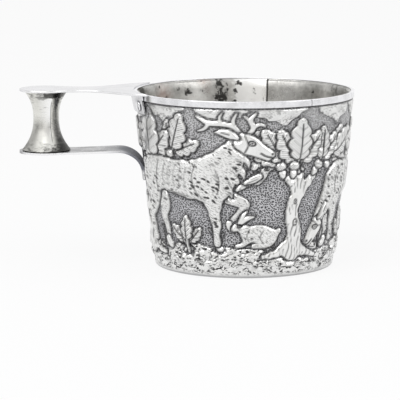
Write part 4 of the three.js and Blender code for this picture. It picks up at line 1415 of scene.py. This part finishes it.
class AddSpool(bpy.types.Operator):
    """Add the hollow spool between the handle's plates"""
    bl_idname = "silver_cup.spool"
    bl_label = "Spool"

    def execute(self, context):
        sizes, colours = context.scene.silver_cup_sizes, context.scene.silver_cup_colours
        waist = SPOOL_TOP - SPOOL_WAIST_DROP

        def radius_at(z):
            if z > waist:
                length, end, flare = SPOOL_TOP - waist, SPOOL_HEAD_RADIUS, SPOOL_HEAD_FLARE
            else:
                length, end, flare = waist - SPOOL_FOOT, SPOOL_FOOT_RADIUS, SPOOL_FOOT_FLARE
            share = abs(z - waist) / length
            return SPOOL_WAIST_RADIUS + (end - SPOOL_WAIST_RADIUS) * share ** flare

        heights = np.linspace(SPOOL_FOOT, SPOOL_TOP, 57)
        outer = [(radius_at(z), z) for z in heights]
        inner = [(radius_at(z) - sizes.spool_wall, z) for z in heights[::-1]]
        lip = 0.25 * MM
        head = rounded([outer[-2], outer[-1], inner[0], inner[1]], [0, lip, lip, 0], 3)[1:-1]
        foot = rounded([inner[-2], inner[-1], outer[0], outer[1]], [0, lip, lip, 0], 3)[1:-1]
        section = outer[1:-1] + head + inner[1:-1] + foot
        bm = turned(section, SPOOL_STEPS)
        bmesh.ops.translate(bm, verts=bm.verts, vec=(-SPOOL_AXIS, 0, 0))
        piece = make_piece(bm, "spool", spool_silver(colours), "spool_silver", "handle_spool",
                           even=False)
        dent(piece.data, (-SPOOL_AXIS, 0), 0.08 * MM, 6 * MM, 3)
        return {"FINISHED"}


class AddRivets(bpy.types.Operator):
    """Add the two rivets that hold the flange"""
    bl_idname = "silver_cup.rivets"
    bl_label = "Rivets"

    def execute(self, context):
        sizes, colours = context.scene.silver_cup_sizes, context.scene.silver_cup_colours
        look = polished_silver("rivet silver", colours.polished, 0.95, 0.18)
        head = sizes.rivet_head
        height = PLATE_TOP - RIVET_DROP
        flange_top = RIM_RADIUS + SEAT_GAP
        flange_foot = wall_radius(FLANGE_FOOT) + FLANGE_FOOT_GAP
        flange_slope = (flange_top - flange_foot) / (BAND_FOOT - FLANGE_FOOT)
        tilt = (math.atan(flange_slope) + WALL_TILT) / 2
        seat = flange_foot + flange_slope * (height - FLANGE_FOOT) + PLATE
        grip = ((seat - wall_radius(height) + sizes.sheet)
                / (math.cos(tilt) + WALL_SLOPE * math.sin(tilt)))
        foot, tail = 0.2 * MM, -grip - SEAT_GAP
        shank, tail_radius, tail_height = 1.1 * MM, 1.7 * MM, 0.4 * MM
        for name, angle in (("rivet_front", RIVET_ANGLE), ("rivet_rear", -RIVET_ANGLE)):
            section = [(0, tail - tail_height), (tail_radius - 0.15 * MM, tail - tail_height),
                       (tail_radius, tail - 0.2 * MM), (tail_radius, tail), (shank, tail),
                       (shank, foot), (head, foot)]
            section += curve([(head, foot), (head, 0.75 * MM), (head * 0.6, 1.12 * MM),
                              (0, 1.15 * MM)], 10)
            bm = turned(section, RIVET_STEPS, closed=False)
            axis = Vector((-math.cos(tilt), 0, -math.sin(tilt)))
            turn = Vector((0, 0, 1)).rotation_difference(axis).to_matrix().to_4x4()
            place = (Matrix.Rotation(angle, 4, "Z")
                     @ Matrix.Translation((-seat, 0, height)) @ turn)
            bmesh.ops.transform(bm, matrix=place, verts=bm.verts)
            make_piece(bm, name + "_dome", look, "handle_silver", name)
        return {"FINISHED"}


class AddStudio(bpy.types.Operator):
    """Add the camera, the pale floor, the white surround and the soft lamps"""
    bl_idname = "silver_cup.studio"
    bl_label = "Studio"

    def execute(self, context):
        scene = context.scene
        scene.view_settings.view_transform = "Standard"
        data = bpy.data.cameras.new("photo camera")
        data.lens, data.sensor_width = CAMERA_LENS, 36
        data.clip_start, data.clip_end = 0.01, 20
        camera = bpy.data.objects.new("photo camera", data)
        camera.matrix_world = (Matrix.Translation(CAMERA_PLACE)
                               @ Matrix.Rotation(CAMERA_PITCH, 4, "X")
                               @ Matrix.Rotation(CAMERA_ROLL, 4, "Z"))
        scene.collection.objects.link(camera)
        scene.camera = camera
        light_room(scene)
        return {"FINISHED"}


def light_room(scene):
    """The floor, the surround, the cards that the silver mirrors and the lamps."""
    lay_paper()
    surround(scene)
    for name, place, width, height, glow in ROOM_CARDS:
        add_card(name, place, width, height, glow)
    for name, place, size, power in LAMPS:
        data = bpy.data.lights.new(name, "AREA")
        data.energy, data.size = power, size
        lamp = bpy.data.objects.new(name, data)
        lamp.matrix_world = facing_cup(place)
        scene.collection.objects.link(lamp)


def facing_cup(place):
    """A place and a turn that look at the middle of the cup."""
    aim = Vector((0, 0, 0.04)) - Vector(place)
    return Matrix.Translation(place) @ aim.to_track_quat("-Z", "Y").to_matrix().to_4x4()


def either_ray(nodes, links):
    """One where the camera sees a thing or metal mirrors it, and the light path node itself."""
    path = nodes.new("ShaderNodeLightPath")
    seen = nodes.new("ShaderNodeMath")
    seen.operation = "MAXIMUM"
    links.new(path.outputs["Is Camera Ray"], seen.inputs[0])
    links.new(path.outputs["Is Glossy Ray"], seen.inputs[1])
    return seen.outputs[0], path


def lay_paper():
    """The pale floor, which glows where the camera sees it or the silver mirrors it."""
    bm = bmesh.new()
    bmesh.ops.create_grid(bm, x_segments=1, y_segments=1, size=3)
    floor = add_object(bm, "studio_floor")
    floor.location.z = -0.2 * MM
    paper = bpy.data.materials.new("studio paper")
    paper.use_nodes = True
    nodes, links = paper.node_tree.nodes, paper.node_tree.links
    shader = nodes["Principled BSDF"]
    shader.inputs["Base Color"].default_value = (0.88, 0.88, 0.89, 1)
    shader.inputs["Roughness"].default_value = 0.9
    glow = nodes.new("ShaderNodeEmission")
    glow.inputs["Color"].default_value = (0.985, 0.985, 0.985, 1)
    share = nodes.new("ShaderNodeMath")
    share.operation = "MULTIPLY"
    links.new(either_ray(nodes, links)[0], share.inputs[0])
    share.inputs[1].default_value = 0.9
    blend = nodes.new("ShaderNodeMixShader")
    links.new(share.outputs[0], blend.inputs["Fac"])
    links.new(shader.outputs[0], blend.inputs[1])
    links.new(glow.outputs[0], blend.inputs[2])
    links.new(blend.outputs[0], nodes["Material Output"].inputs["Surface"])
    floor.data.materials.append(paper)


def surround(scene):
    """An even white surround, a little brighter where it is seen or mirrored."""
    world = bpy.data.worlds.new("white surround")
    scene.world = world
    world.use_nodes = True
    nodes, links = world.node_tree.nodes, world.node_tree.links
    seen, path = either_ray(nodes, links)
    also = nodes.new("ShaderNodeMath")
    also.operation = "MAXIMUM"
    links.new(seen, also.inputs[0])
    links.new(path.outputs["Is Transmission Ray"], also.inputs[1])
    level = nodes.new("ShaderNodeMapRange")
    links.new(also.outputs[0], level.inputs["Value"])
    level.inputs["To Min"].default_value = 0.7
    level.inputs["To Max"].default_value = 1.0
    links.new(level.outputs[0], nodes["Background"].inputs["Strength"])
    nodes["Background"].inputs["Color"].default_value = (1, 1, 1, 1)


def add_card(name, place, width, height, glow):
    """A card of the studio, upright and facing the cup, that only reflections show."""
    bm = bmesh.new()
    corners = [(-0.5, 0), (0.5, 0), (0.5, 1), (-0.5, 1)]
    bm.faces.new([bm.verts.new((x * width, 0, z * height)) for x, z in corners])
    card = add_object(bm, name)
    away = math.atan2(place[1], place[0])
    card.matrix_world = Matrix.Translation(place) @ Matrix.Rotation(away - math.pi / 2, 4, "Z")
    card.visible_camera = card.visible_diffuse = card.visible_shadow = False
    card.visible_transmission = False
    look = bpy.data.materials.new(name)
    look.use_nodes = True
    nodes, links = look.node_tree.nodes, look.node_tree.links
    shade = nodes.new("ShaderNodeEmission")
    shade.inputs["Color"].default_value = (*(glow * c for c in (1.0, 0.985, 0.96)), 1)
    links.new(shade.outputs[0], nodes["Material Output"].inputs["Surface"])
    card.data.materials.append(look)


class SilverCupPanel(bpy.types.Panel):
    """Sidebar panel with the cup's sizes, colours and pieces"""
    bl_idname = "VIEW3D_PT_silver_cup"
    bl_label = "Silver Cup"
    bl_space_type = "VIEW_3D"
    bl_region_type = "UI"
    bl_category = "Silver Cup"

    def draw(self, context):
        for group in (context.scene.silver_cup_sizes, context.scene.silver_cup_colours):
            for name in group.__annotations__:
                self.layout.prop(group, name)
        for operator in OPERATORS:
            self.layout.operator(operator.bl_idname)


OPERATORS = (AddStudio, AddChasedWall, AddLiner, AddRimBand, AddTopPlate, AddLowerPlate, AddSpool,
             AddRivets)
CLASSES = (SilverCupSizes, SilverCupColours, *OPERATORS, SilverCupPanel)


def register():
    for cls in CLASSES:
        bpy.utils.register_class(cls)
    bpy.types.Scene.silver_cup_sizes = bpy.props.PointerProperty(type=SilverCupSizes)
    bpy.types.Scene.silver_cup_colours = bpy.props.PointerProperty(type=SilverCupColours)


def unregister():
    del bpy.types.Scene.silver_cup_colours
    del bpy.types.Scene.silver_cup_sizes
    for cls in reversed(CLASSES):
        bpy.utils.unregister_class(cls)


def main():
    register()
    bpy.ops.silver_cup.studio()
    bpy.ops.silver_cup.chased_wall()
    bpy.ops.silver_cup.liner()
    bpy.ops.silver_cup.rim_band()
    bpy.ops.silver_cup.top_plate()
    bpy.ops.silver_cup.lower_plate()
    bpy.ops.silver_cup.spool()
    bpy.ops.silver_cup.rivets()


if __name__ == "__main__":
    main()
